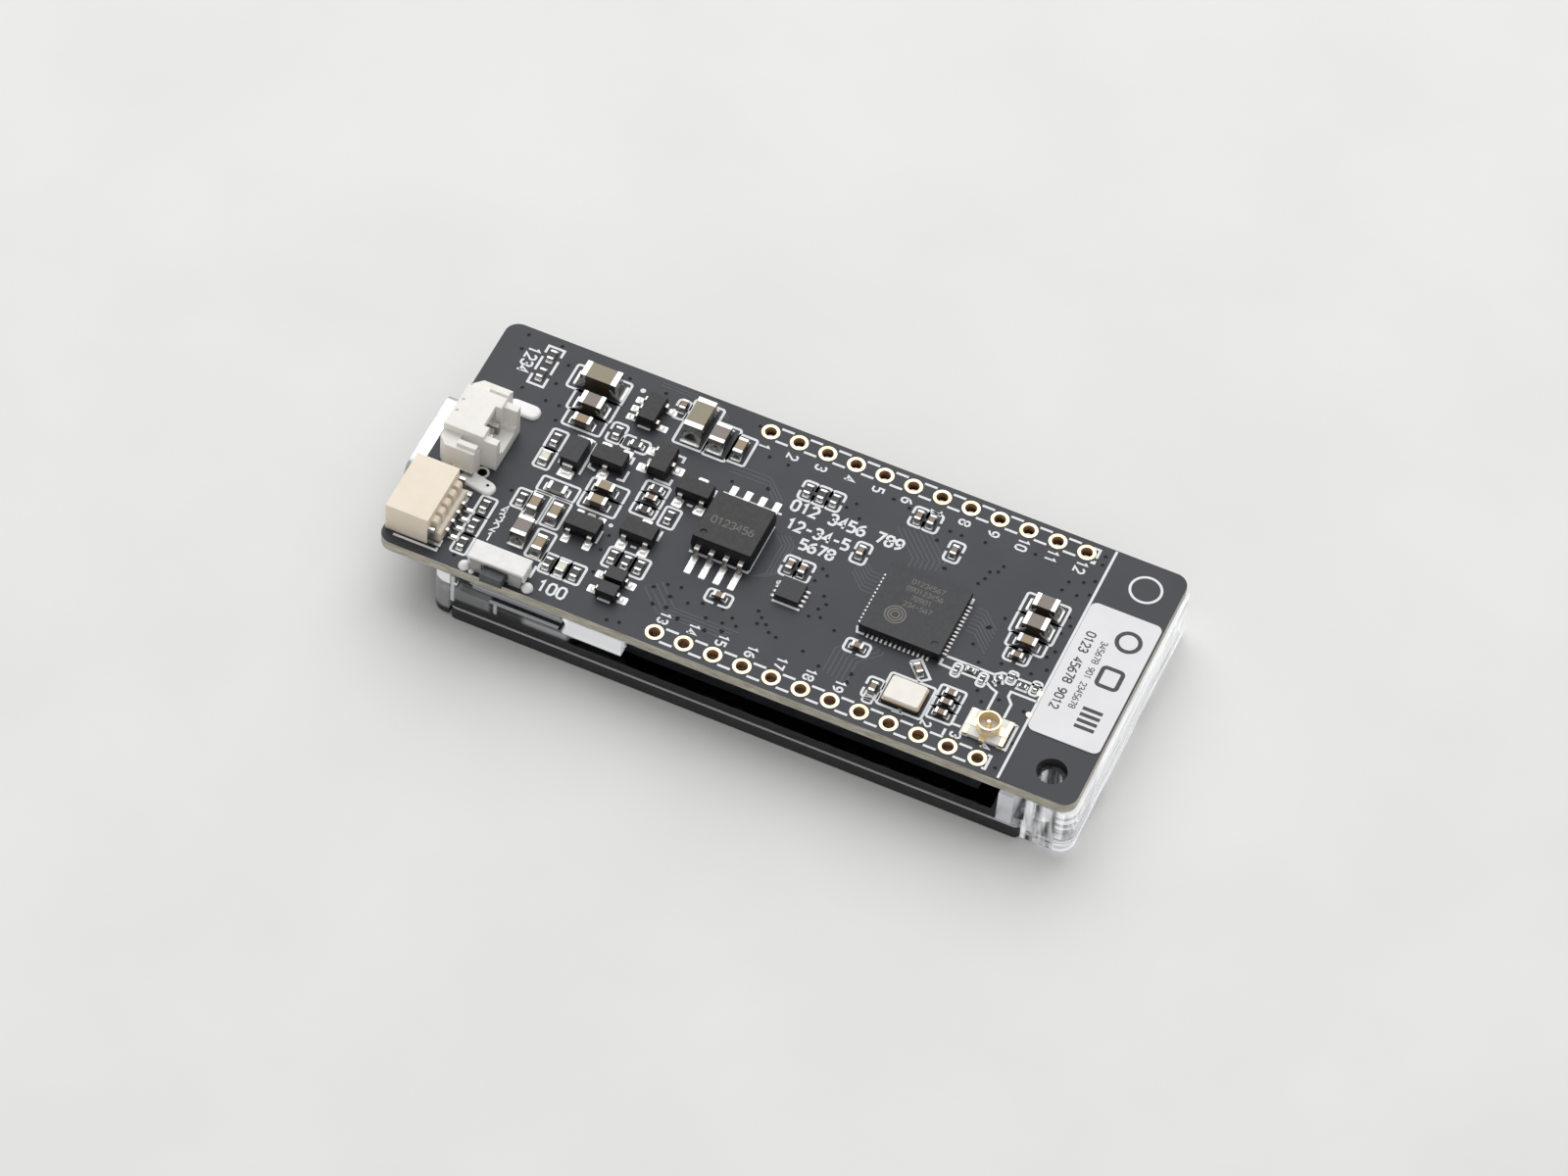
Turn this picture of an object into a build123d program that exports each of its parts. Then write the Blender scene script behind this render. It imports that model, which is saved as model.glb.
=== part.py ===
from build123d import *
import os

# Display development board: a circuit board on a clear plastic frame that holds a small colour display.
# Millimetres. +Z is up and the component side faces up; the display's glass rests on z = 0.
# X runs along the board from the connector end to the label end, Y across it.
# The origin lies on the glass, below the centre of the 24 header holes.

# Circuit board
board_left = 37.95
board_right = 22.6
header_pitch = 2.54
header_count = 12
header_row_spacing = 22.86
header_edge = 1.27              # from a header row to the board's long edge
board_width = header_row_spacing + 2 * header_edge
board_thickness = 1.0
board_corner = 1.2
header_hole = 1.0
header_ring = 1.55
plating_height = 0.03
screw_hole = 2.5
screw_from_end = 2.85
screw_from_side = 2.7
test_point = 0.5
test_point_places = ((16.0, -3.4), (16.0, -5.7))

# Clear frame
frame_floor = 1.0
frame_gap = 2.8                 # open height between the frame's floor and the circuit board
frame_proud = 0.1               # past the circuit board, at each side
frame_width = board_width + 2 * frame_proud
frame_wall = 1.2
frame_left_wall = 1.7
frame_overhang = 0.3            # past the circuit board, at the label end
frame_step = 0.3                # the frame stays this much above the glass face
frame_clearance = 0.1           # around the display and the flat cable
frame_end_wall = 1.4
frame_corner = 1.3
frame_rail = 2.6                # width of the floor around its window
left_side_wall = 16.8
right_side_wall = 4.1
side_slot_length = 9.6
side_slot_height = 1.4
side_slot_depth = 0.6
side_slot_inset = 2.3
side_slot_corner = 0.5
arch_length = 4.6
arch_height = 0.9
arch_corner = 0.7
rib_length = 1.3
rib_inset = 6.4
rib_drop = 0.4
screw_post_width = 5.6
screw_pilot = 1.8
screw_pilot_depth = 3.2

# Display module
display_length = 49.8
display_proud = 0.1             # past the frame, at each side
display_width = frame_width + 2 * display_proud
display_thickness = 1.43
display_start = 31.2            # from the origin to the display's end at the connectors
tray_wall = 0.5
tray_back = 0.15
tray_lip = 0.05                 # the tray stays this much above the surface that the glass rests on
glass_thickness = 0.75
glass_gap = 0.05
foam_thickness = 0.07
foam_width = 1.6

# Label
label_length = 14.05
label_width = 6.15
label_thickness = 0.08
label_corner = 0.6
label_margin = 0.15

# Charging and data socket, on the hidden side
usb_width = 8.94
usb_height = 3.16
usb_length = 7.3
usb_overhang = 1.5
usb_wall = 0.3
usb_round = 1.2
usb_base_depth = 1.9
usb_tongue_width = 6.69
usb_tongue_thickness = 0.7
usb_tongue_reach = 4.5
usb_contact_pitch = 0.5
usb_contact_count = 12
usb_contact_width = 0.26
usb_contact_thickness = 0.04
usb_leg_length = 1.1
usb_leg_front = 2.6             # from the socket's mouth to its front legs
usb_leg_rear = 6.75             # from the socket's mouth to its rear legs
usb_leg_slot = 0.6
usb_peg = 0.5
usb_peg_hole = 0.7
usb_peg_spacing = 5.78
usb_peg_from_mouth = 6.25
usb_peg_height = 0.5
usb_contact_reach = 3.8         # from the moulded base towards the mouth

# Battery socket, two contacts, mouth at the board's end
battery_y = 0.03
battery_mouth_inset = 0.95
battery_plate_length = 3.5
battery_plate_width = 4.55
battery_height = 3.6
battery_wall = 0.6
battery_flange_width = 1.45
battery_flange_length = 3.3
battery_flange_inset = 0.05
battery_flange_height = 2.85
battery_flange_chamfer = 0.7
battery_latch_start = 1.6       # from the front of the flange
battery_latch_gap = 0.6         # from the plate's side
battery_latch_width = 0.5
battery_latch_height = 0.3
battery_latch_slot = 0.8        # depth of the slot between plate and latch
battery_rear_depth = 1.2
battery_rear_height = 3.2
battery_rear_block = 0.65
battery_floor = 1.0
battery_ledge_width = 0.4
battery_ledge_height = 0.45
battery_window = 0.5
battery_window_width = 2.2
battery_dimple = 0.25
battery_dimple_depth = 0.1
battery_dimple_inset = 0.35
battery_pitch = 1.25
battery_contact_width = 0.4
battery_contact_thickness = 0.3
battery_contact_height = 1.6    # underside of the pins above the board
battery_contact_drop = 1.15     # from the housing's rear to the contacts' bend
battery_tab = 0.25
battery_tab_height = 0.75

# Expansion socket, four contacts, mouth at the board's end
expansion_from_side = 4.25      # from the board's near edge to the socket's middle
expansion_y = expansion_from_side - board_width / 2
expansion_mouth_inset = 0.15
expansion_length = 3.8
expansion_width = 6.0
expansion_height = 2.9
expansion_wall = 0.5
expansion_pitch = 1.0
expansion_count = 4
expansion_rib_width = 0.66
expansion_rib_depth = 0.55
expansion_rib_height = 2.3
expansion_ledge_depth = 0.35
expansion_ledge_height = 1.2
expansion_contact = 0.3
expansion_contact_thickness = 0.2
expansion_contact_height = 0.72
expansion_contact_out = 0.25    # from the ledge to the bend
expansion_contact_slope = 0.15
expansion_contact_foot = 0.6
expansion_tab = 0.25
expansion_tab_height = 2.0

# Reset switch, pressed from the side
reset_x = -27.65
reset_length = 4.5
reset_depth = 1.9
reset_height = 1.5
reset_cover_thickness = 0.2
reset_skirt = 0.25
reset_skirt_height = 0.9
reset_from_edge = 0.4           # from the board's edge to the switch body
reset_plunger_width = 1.95
reset_plunger_height = 0.9
reset_plunger_base = 0.25
reset_plunger_proud = 0.9
reset_shoulder = 0.35
reset_shoulder_depth = 0.35
reset_front_wall = 0.35
reset_rear_wall = 0.35
reset_leg = 0.6

# Two buttons on the hidden side, pressed towards the board
button_length = 3.0
button_width = 4.0
button_height = 1.9
button_cover_thickness = 0.1
button_from_end = 2.35
button_from_side = 3.5
button_y = board_width / 2 - button_from_side
button_plunger = 1.7
button_plunger_proud = 0.6
button_flange = 0.35
button_flange_height = 0.4
button_wall = 0.35
button_leg = 0.45
button_leg_spacing = 2.9

# Values that all three switches share
press_travel = 0.25
slide_clearance = 0.05
dome_thickness = 0.1
dome_radius = 0.7
leg_thickness = 0.12

# Chips and small parts
chip_standoff = 0.05
mcu_size = 7.0
mcu_height = 0.85
mcu_x = 4.0
mcu_y = -0.55
mcu_pad_pitch = 0.4
mcu_pad_count = 14
mcu_pad_width = 0.2
mcu_pad_inside = 0.4
mcu_pad_outside = 0.25
mcu_dimple = 0.6
mcu_dimple_inset = 0.75
flash_size = 5.25
flash_height = 1.85
flash_x = -12.25
flash_y = 0.05
flash_lead_pitch = 1.27
flash_lead_count = 4
flash_lead_width = 0.42
flash_lead_span = 8.0
logic_size = 2.1
logic_height = 0.6
logic_x = -5.8
logic_y = -3.1
logic_pad_pitch = 0.5
logic_pad_count = 4
logic_pad_width = 0.25
crystal_length = 3.2
crystal_width = 2.5
crystal_base_height = 0.45
crystal_lid_height = 0.35
crystal_lid_inset = 0.08
crystal_x = 6.5
crystal_y = -8.5
small_outline_length = 2.9
small_outline_width = 1.6
small_outline_height = 1.1
small_outline_pitch = 0.95
small_outline_span = 2.8
small_outline_lead = 0.4
large_diode_length = 2.7
large_diode_width = 1.6
large_diode_height = 1.1
large_diode_span = 3.8
large_diode_lead = 0.9
small_diode_length = 1.7
small_diode_width = 1.25
small_diode_height = 0.9
small_diode_span = 2.6
small_diode_lead = 0.35
lead_thickness = 0.14
lead_bend = 0.12
lead_shoulder = 0.35            # share of a lead's run that stays level before its bend
lead_ankle = 0.5                # share of a lead's run at which it reaches the board
lead_bend_share = 0.15          # a bend is no larger than this share of the run
lead_bend_least = 0.6           # nor smaller than this share of the lead's thickness
mould_draft = 6.0               # degrees

# Micro coaxial antenna socket
antenna_x = 13.65
antenna_from_side = 4.2
antenna_y = antenna_from_side - board_width / 2
antenna_length = 2.7
antenna_width = 2.6
antenna_base_height = 0.35
antenna_foot = 0.4
antenna_ring = 2.0
antenna_ring_wall = 0.16
antenna_height = 1.25
antenna_groove = 0.06           # radius of the round groove
antenna_groove_height = 0.37    # above the foot of the ring
antenna_strap = 0.05
antenna_pin_drop = 0.1          # the pin's top below the ring's
antenna_pin = 0.5

# Chip capacitors, resistors and light-emitting diodes: length, width, height and end band
size_1206 = (3.2, 1.6, 1.6, 0.5)
size_0805 = (2.0, 1.3, 1.1, 0.4)
size_0603 = (1.6, 0.8, 0.8, 0.3)
size_0402 = (1.0, 0.5, 0.5, 0.22)
resistor_0402 = (1.0, 0.5, 0.35, 0.22)
resistor_0603 = (1.6, 0.8, 0.45, 0.3)
resistor_0201 = (0.6, 0.3, 0.25, 0.14)
led_0603 = (1.1, 0.7, 0.45, 0.2)
chip_edge = 0.05
slot_round = 0.45               # corner radius as a share of a slot's width
plate_round = 0.4               # the same for a thin plate's thickness
nose_round = 0.6                # the same for a rounded front edge
pin_round = 0.35                # the same for a pin's diameter
band_proud = 0.02

# Ways that a small part can point, and the turn about Z in degrees that each stands for
east = "east"
north = "north"
west = "west"
south = "south"
southeast = "southeast"
northeast = "northeast"
turns = {east: 0, north: 90, west: 180, south: 270, southeast: -50, northeast: 60}

# Places on the board: x, y and the way that the part points
places_1206 = ((-28.4, 9.65, east), (-19.45, 9.45, north))
places_0805 = (
    (-28.1, 7.2, east), (-17.3, 8.75, north), (-27.65, -7.1, north), (13.2, 4.5, east),
    (13.2, 2.4, east),
)
places_0603 = (
    (-28.1, 5.3, east), (-15.4, 8.5, north), (-23.5, -0.2, east), (-23.5, -1.75, east),
    (-27.9, -4.2, north), (-26.05, -4.3, north), (-25.8, -7.8, north), (13.2, 0.6, east),
)
places_0402 = (
    (-21.4, 10.6, north), (-19.8, 0.6, east), (-2.4, 3.2, north), (-6.95, -0.6, north),
    (-5.85, -0.6, north), (0.4, 8.6, north), (1.5, 8.6, north), (4.35, 6.6, north), (-10.8, -6.0, east),
    (1.15, -5.7, east), (3.9, -8.9, north), (6.4, -5.6, southeast), (9.7, -6.7, east),
    (9.7, -7.7, east), (9.7, -8.8, east), (12.95, -0.9, east),
)
places_resistor_0402 = (
    (-33.3, 10.6, north), (-33.3, 8.5, north), (-29.3, 2.8, north), (-25.1, 5.7, north),
    (-23.2, 5.2, east), (-19.8, 1.7, east), (-19.8, -0.6, east), (-17.7, -0.4, north),
    (-8.75, 7.15, north), (-7.55, 7.15, north), (-6.4, 7.15, north), (-20.1, -6.1, north),
    (-18.9, -6.1, north), (-17.75, -6.1, north), (-24.5, -9.0, north), (-22.1, -9.0, north),
    (-29.15, -4.0, north), (-31.5, -6.0, north), (-31.5, -8.15, north), (-31.5, -10.25, north),
)
places_resistor_0603 = ((-27.0, -1.85, east),)
places_resistor_0201 = (
    (9.1, -4.2, north), (10.15, -3.75, east), (11.3, -4.2, north), (12.45, -3.7, northeast),
    (13.4, -2.95, north), (14.5, -3.4, east), (15.5, -3.1, north),
)
places_led = ((-29.3, 0.75, north), (-23.3, -8.95, north))
places_regulator = ((-23.4, 8.7, north), (-23.4, -4.6, east))
places_transistor = ((-20.4, 4.3, south), (-24.4, 2.6, west), (-16.8, 2.7, east), (-19.1, -3.2, east))
places_large_diode = ((-27.15, 1.9, north),)
places_small_diode = ((-18.9, -8.1, east), (-18.9, -9.7, east))

# Flat cable and its socket, between the frame and the board
flex_width = 14.0
flex_thickness = 0.12
flex_bend = 0.6
flex_reach = 1.0                # past the display's end
flex_drop = 0.5                 # from the board's hidden face to the cable
flex_socket_x = 9.0
flex_socket_length = 4.0
flex_socket_side = 1.5
flex_socket_height = 1.0
flex_insert = 1.6
flex_flap_length = 0.9

# Heights and edges that follow from the sizes above
display_end = display_length - display_start
floor_z = display_thickness + foam_thickness
floor_top_z = floor_z + frame_floor
board_z = floor_top_z + frame_gap
top_z = board_z + board_thickness
frame_left = -display_start - frame_clearance - frame_left_wall
frame_right = board_right + frame_overhang
near_edge = -board_width / 2
usb_mouth = -board_left - usb_overhang
usb_rear = usb_mouth + usb_length
usb_middle_z = board_z - usb_height / 2
screw_x = board_right - screw_from_end
screw_y = near_edge + screw_from_side
overcut = 1.0                   # how far a cutting solid runs past the face that it opens


def block(x0, x1, y0, y1, z0, z1):
    """A plain block between two corners."""
    middle = Pos((x0 + x1) / 2, (y0 + y1) / 2, (z0 + z1) / 2)
    return middle * Box(abs(x1 - x0), abs(y1 - y0), abs(z1 - z0))


def soft_block(x0, x1, y0, y1, z0, z1, corner, edges=Axis.Z):
    """A block with the edges along one axis rounded."""
    body = block(x0, x1, y0, y1, z0, z1)
    return fillet(body.edges().filter_by(edges), corner)


def post(x, y, z0, z1, diameter):
    """An upright cylinder."""
    return Pos(x, y, (z0 + z1) / 2) * Cylinder(diameter / 2, z1 - z0)


def save(name, shape):
    """Write one node, as one solid or as a group of separate solids."""
    export_step(shape, f"parts/{name}.step")


def group(solids):
    return Compound(children=list(solids))


def placed(shape, places):
    """Copies of a small part on the board's component side."""
    return [Pos(x, y, top_z) * Rot(0, 0, turns[way]) * shape for x, y, way in places]


def copies(shapes, places):
    """Every shape of a small part at each of its places."""
    return [solid for shape in shapes for solid in placed(shape, places)]


def spread(count, pitch):
    """Places along a row, even about its middle."""
    return [(index - (count - 1) / 2) * pitch for index in range(count)]


def header_places():
    rows = (-header_row_spacing / 2, header_row_spacing / 2)
    return [(x, y) for y in rows for x in spread(header_count, header_pitch)]


def usb_leg_places():
    """Middle of each of the socket shell's four legs."""
    side = usb_width / 2 - usb_wall / 2
    return [(usb_mouth + along, y) for along in (usb_leg_front, usb_leg_rear) for y in (-side, side)]


def usb_peg_places():
    x = usb_mouth + usb_peg_from_mouth
    return [(x, -usb_peg_spacing / 2), (x, usb_peg_spacing / 2)]


def circuit_board():
    half = board_width / 2
    board = soft_block(-board_left, board_right, -half, half, board_z, top_z, board_corner)
    cuts = [post(x, y, board_z - overcut, top_z + overcut, header_hole) for x, y in header_places()]
    cuts.append(post(screw_x, screw_y, board_z - overcut, top_z + overcut, screw_hole))
    for x, y in usb_peg_places():
        cuts.append(post(x, y, board_z - overcut, top_z + overcut, usb_peg_hole))
    reach = (usb_leg_length + usb_leg_slot - usb_wall) / 2
    for x, y in usb_leg_places():
        cuts.append(soft_block(x - reach, x + reach, y - usb_leg_slot / 2, y + usb_leg_slot / 2,
                               board_z - overcut, top_z + overcut, usb_leg_slot * slot_round))
    return board - cuts


def header_rings():
    """A flat gold ring round each header hole, on both faces of the board."""
    rings = []
    for x, y in header_places():
        bore = post(x, y, board_z - overcut, top_z + overcut, header_hole)
        rings.append(post(x, y, top_z, top_z + plating_height, header_ring) - bore)
        rings.append(post(x, y, board_z - plating_height, board_z, header_ring) - bore)
    return group(rings)


def label_sticker():
    right = board_right - label_margin
    half = label_length / 2
    return soft_block(right - label_width, right, -half, half, top_z, top_z + label_thickness, label_corner)


def test_points():
    return group(post(x, y, top_z, top_z + plating_height, test_point) for x, y in test_point_places)


def frame_outline(z0, z1):
    """The frame's full outline, with its rounded corners."""
    half = frame_width / 2
    return soft_block(frame_left, frame_right, -half, half, z0, z1, frame_corner)


def frame_side_cuts(side):
    """The long opening, the recess and the arch in one side wall, and the space above the rib."""
    outer = side * frame_width / 2
    outside = outer + side * overcut
    inner = outer - side * frame_wall
    opening_left = frame_left + left_side_wall
    opening_right = frame_right - rib_inset
    opening = block(opening_left, opening_right, inner - side * overcut, outside, floor_top_z,
                    board_z + overcut)
    slot_left = frame_left + side_slot_inset
    slot_top = board_z - frame_clearance
    recess = soft_block(slot_left, slot_left + side_slot_length, outer - side * side_slot_depth, outside,
                        slot_top - side_slot_height, slot_top, side_slot_corner, Axis.Y)
    arch = soft_block(opening_left - arch_length, opening_left + overcut, inner - side * overcut, outside,
                      floor_top_z - arch_height, floor_top_z + arch_height, arch_corner, Axis.Y)
    arch = arch & block(opening_left - arch_length, opening_left + overcut, inner - side * overcut, outside,
                        floor_top_z, floor_top_z + arch_height)
    rib_end = opening_right + rib_length
    above_rib = block(opening_right - overcut, rib_end, inner - side * overcut, outside,
                      board_z - rib_drop, board_z + overcut)
    past_rib = block(rib_end, frame_right - right_side_wall, inner - side * overcut, outside,
                     floor_top_z, board_z + overcut)
    return [opening, recess, arch, above_rib, past_rib]


def clear_frame():
    """Floor with a window, end walls around the display, side walls up to the board, screw posts."""
    half = frame_width / 2
    frame = frame_outline(frame_step, board_z)
    display_room = block(-display_start - frame_clearance, display_end + frame_clearance, -half - overcut,
                         half + overcut, frame_step - overcut, floor_z)
    upper_left = frame_left + frame_left_wall
    upper_right = frame_right - frame_end_wall
    upper_room = block(upper_left, upper_right, -half + frame_wall, half - frame_wall, floor_top_z,
                       board_z + overcut)
    window = block(upper_left + frame_rail, display_end - frame_rail, -half + frame_rail, half - frame_rail,
                   floor_z - overcut, floor_top_z + overcut)
    frame = frame - [display_room, upper_room, window]
    frame = frame - frame_side_cuts(1) - frame_side_cuts(-1)
    for side in (-1, 1):
        outer = side * half
        column = block(frame_right - right_side_wall, upper_right, outer - side * screw_post_width,
                       outer - side * frame_wall, floor_top_z, board_z)
        frame = frame + column
        frame = frame - post(screw_x, side * abs(screw_y), board_z - screw_pilot_depth, board_z + overcut,
                             screw_pilot)
    usb_half = usb_width / 2 + 2 * frame_clearance
    usb_room = block(frame_left - overcut, usb_rear + 2 * frame_clearance, -usb_half, usb_half,
                     board_z - usb_height - 2 * frame_clearance, board_z + overcut)
    flex_half = flex_width / 2 + 2 * frame_clearance
    flex_room_start = min(display_end, upper_right) - frame_rail
    flex_room = block(flex_room_start, display_end + flex_reach + flex_bend, -flex_half, flex_half,
                      frame_step - overcut, board_z + overcut)
    return (frame - usb_room - flex_room).solid()


def display_foam():
    """Thin double-sided foam around the frame's window."""
    left = -display_start + frame_clearance
    right = display_end - frame_rail - frame_clearance
    half = frame_width / 2 - frame_clearance
    outer = block(left, right, -half, half, display_thickness, floor_z)
    inner = block(left + foam_width, right - foam_width, -half + foam_width, half - foam_width,
                  display_thickness - overcut, floor_z + overcut)
    return outer - inner


def display_tray():
    """Black tray that holds the glass and the light guide, with a gate for the flat cable."""
    half = display_width / 2
    tray = soft_block(-display_start, display_end, -half, half, tray_lip, display_thickness, tray_wall)
    pocket = block(-display_start + tray_wall, display_end - tray_wall, -half + tray_wall, half - tray_wall,
                   tray_lip - overcut, display_thickness - tray_back)
    gate_half = flex_width / 2 + frame_clearance
    gate_z = glass_thickness / 2
    gate = block(display_end - 2 * tray_wall, display_end + overcut, -gate_half, gate_half,
                 gate_z - flex_thickness, gate_z + flex_thickness)
    return tray - pocket - gate


def display_layer(z0, z1):
    """A flat layer that fills the tray's pocket, less its gap."""
    inset = tray_wall + glass_gap
    half = display_width / 2 - inset
    return block(-display_start + inset, display_end - inset, -half, half, z0, z1)


def display_flex():
    """Flat cable from the glass, round the display's end and back to the socket under the board."""
    start = display_end - tray_wall - glass_gap
    turn = display_end + flex_reach
    low = glass_thickness / 2
    high = board_z - flex_drop
    finish = flex_socket_x + flex_socket_length - flex_insert
    path = FilletPolyline((start, 0, low), (turn, 0, low), (turn, 0, high), (finish, 0, high),
                          radius=flex_bend)
    section = Plane(origin=(start, 0, low), x_dir=(0, 1, 0), z_dir=(1, 0, 0))
    return sweep(section * Rectangle(flex_width, flex_thickness), path=path)


def flex_socket():
    """Socket body under the board, with a slot for the flat cable and a seat for the flap."""
    half = flex_width / 2 + flex_socket_side
    end = flex_socket_x + flex_socket_length
    body = block(flex_socket_x, end, -half, half, board_z - flex_socket_height, board_z)
    cable = board_z - flex_drop
    slot = block(end - flex_insert, end + overcut, -flex_width / 2, flex_width / 2,
                 cable - flex_thickness / 2, cable + flex_thickness / 2)
    seat = block(end - flex_flap_length, end + overcut, -flex_width / 2, flex_width / 2,
                 board_z - flex_socket_height - overcut, cable)
    return body - slot - seat


def flex_flap():
    end = flex_socket_x + flex_socket_length
    upper = board_z - flex_drop - flex_thickness / 2
    flap = block(end - flex_flap_length, end, -flex_width / 2, flex_width / 2,
                 board_z - flex_socket_height, upper)
    lower_edge = flap.edges().filter_by(Axis.Y).group_by(Axis.Z)[0].sort_by(Axis.X)[-1]
    return fillet(lower_edge, (upper - board_z + flex_socket_height) * nose_round)


def usb_section(x0, x1, inset):
    """Rounded socket section between two places along X."""
    half = usb_width / 2 - inset
    high = usb_height / 2 - inset
    return soft_block(x0, x1, -half, half, usb_middle_z - high, usb_middle_z + high, usb_round - inset,
                      Axis.X)


def usb_shell():
    shell = usb_section(usb_mouth, usb_rear, 0)
    shell = shell - usb_section(usb_mouth - overcut, usb_rear - usb_wall, usb_wall)
    for x, y in usb_leg_places():
        leg = block(x - usb_leg_length / 2, x + usb_leg_length / 2, y - usb_wall / 2, y + usb_wall / 2,
                    usb_middle_z, top_z)
        shell = shell + leg
    return shell.solid()


def usb_tongue():
    """Moulded base at the socket's rear, with its tongue."""
    base_front = usb_rear - usb_wall - usb_base_depth
    base = usb_section(base_front, usb_rear - usb_wall, usb_wall)
    half = usb_tongue_width / 2
    thick = usb_tongue_thickness / 2
    tongue = block(base_front - usb_tongue_reach, base_front, -half, half, usb_middle_z - thick,
                   usb_middle_z + thick)
    nose = tongue.edges().filter_by(Axis.Y).group_by(Axis.X)[0]
    return base + fillet(nose, thick * nose_round)


def usb_pegs():
    """Locating pegs of the socket, standing in the board's peg holes."""
    return group(post(x, y, board_z, board_z + usb_peg_height, usb_peg) for x, y in usb_peg_places())


def usb_contacts():
    base_front = usb_rear - usb_wall - usb_base_depth
    front = base_front - usb_contact_reach
    strips = []
    for y in spread(usb_contact_count, usb_contact_pitch):
        for side in (-1, 1):
            face = usb_middle_z + side * usb_tongue_thickness / 2
            strips.append(block(front, base_front, y - usb_contact_width / 2, y + usb_contact_width / 2,
                                face, face + side * usb_contact_thickness))
    return group(strips)


def battery_contact_places():
    return [battery_y + offset for offset in spread(2, battery_pitch)]


def battery_contact_solid(y):
    """One contact: a straight pin in the mouth that drops through the window to the board."""
    mouth = -board_left + battery_mouth_inset
    rear = mouth + battery_plate_length + battery_rear_depth
    half = battery_contact_width / 2
    pin_z = top_z + battery_contact_height
    bend = rear - battery_contact_drop
    pin = block(mouth + battery_wall, bend, y - half, y + half, pin_z, pin_z + battery_contact_thickness)
    drop = block(bend - battery_contact_thickness, bend, y - half, y + half, top_z, pin_z)
    return pin + drop


def battery_flange(side):
    """The flange at one side of the plate, with a latch strip behind an open slot."""
    edge = battery_y + side * battery_plate_width / 2
    left = -board_left + battery_mouth_inset + battery_flange_inset
    right = left + battery_flange_length
    top = top_z + battery_flange_height
    flange = block(left, right, edge, edge + side * battery_flange_width, top_z, top)
    corner = flange.edges().filter_by(Axis.Z).sort_by(lambda e: side * e.center().Y - e.center().X)[-1]
    flange = chamfer(corner, battery_flange_chamfer)
    latch_left = left + battery_latch_start
    latch_edge = edge + side * battery_latch_gap
    slot = block(latch_left, right + overcut, edge, latch_edge, top - battery_latch_slot, top + overcut)
    latch = block(latch_left, right, latch_edge, latch_edge + side * battery_latch_width, top,
                  top + battery_latch_height)
    return flange - slot + latch


def battery_tower(side):
    """The block at one side of the open rear, with the ledge at its foot."""
    plate_rear = -board_left + battery_mouth_inset + battery_plate_length
    rear = plate_rear + battery_rear_depth
    edge = battery_y + side * battery_plate_width / 2
    inner = edge - side * battery_rear_block
    ledge_z = top_z + battery_floor + battery_ledge_height
    tower = block(plate_rear, rear, inner, edge, top_z, top_z + battery_rear_height)
    return tower + block(plate_rear, rear, inner - side * battery_ledge_width, inner, top_z, ledge_z)


def battery_housing():
    """Socket with a flat top plate; a window behind it opens into the mouth."""
    mouth = -board_left + battery_mouth_inset
    plate_rear = mouth + battery_plate_length
    window_left = plate_rear - battery_window
    near = battery_y - battery_plate_width / 2
    far = battery_y + battery_plate_width / 2
    plate_top = top_z + battery_height
    floor_high = top_z + battery_floor
    shell = block(mouth, plate_rear, near, far, top_z, plate_top)
    cavity = block(mouth - overcut, window_left, near + battery_wall, far - battery_wall,
                   top_z + battery_wall, plate_top - battery_wall)
    window = block(window_left, plate_rear + overcut, battery_y - battery_window_width / 2,
                   battery_y + battery_window_width / 2, floor_high, plate_top + overcut)
    shell = shell - [cavity, window]
    shell = shell + block(plate_rear, plate_rear + battery_rear_depth, near, far, top_z, floor_high)
    for side in (-1, 1):
        shell = shell + battery_flange(side) + battery_tower(side)
    cuts = [battery_contact_solid(y) for y in battery_contact_places()]
    for y in battery_contact_places():
        cuts.append(post(mouth + battery_dimple_inset, y, plate_top - battery_dimple_depth,
                         plate_top + overcut, battery_dimple))
    return (shell - cuts).solid()


def battery_tabs():
    """Solder tabs on the outer faces of the two flanges."""
    mouth = -board_left + battery_mouth_inset
    left = mouth + battery_flange_inset + battery_flange_width
    right = mouth + battery_flange_inset + battery_flange_length
    tabs = []
    for side in (-1, 1):
        face = battery_y + side * (battery_plate_width / 2 + battery_flange_width)
        tabs.append(block(left, right, face, face + side * battery_tab, top_z,
                          top_z + battery_tab_height))
    return group(tabs)


def expansion_mouth():
    return -board_left + expansion_mouth_inset


def expansion_contact_solid(y):
    """One contact: a pin in the mouth, out through the rear and down to a foot on the board."""
    mouth = expansion_mouth()
    rear = mouth + expansion_length
    knee = rear + expansion_rib_depth + expansion_ledge_depth + expansion_contact_out
    ankle = knee + expansion_contact_slope
    pin_z = top_z + expansion_contact_height
    foot_z = top_z + expansion_contact_thickness / 2
    path = FilletPolyline((mouth + 2 * expansion_wall, y, pin_z), (knee, y, pin_z), (ankle, y, foot_z),
                          (ankle + expansion_contact_foot, y, foot_z), radius=lead_bend)
    section = Plane(origin=path @ 0, x_dir=(0, 1, 0), z_dir=(1, 0, 0))
    return sweep(section * Rectangle(expansion_contact, expansion_contact_thickness), path=path)


def expansion_contacts():
    return [expansion_contact_solid(expansion_y + y) for y in spread(expansion_count, expansion_pitch)]


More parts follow.
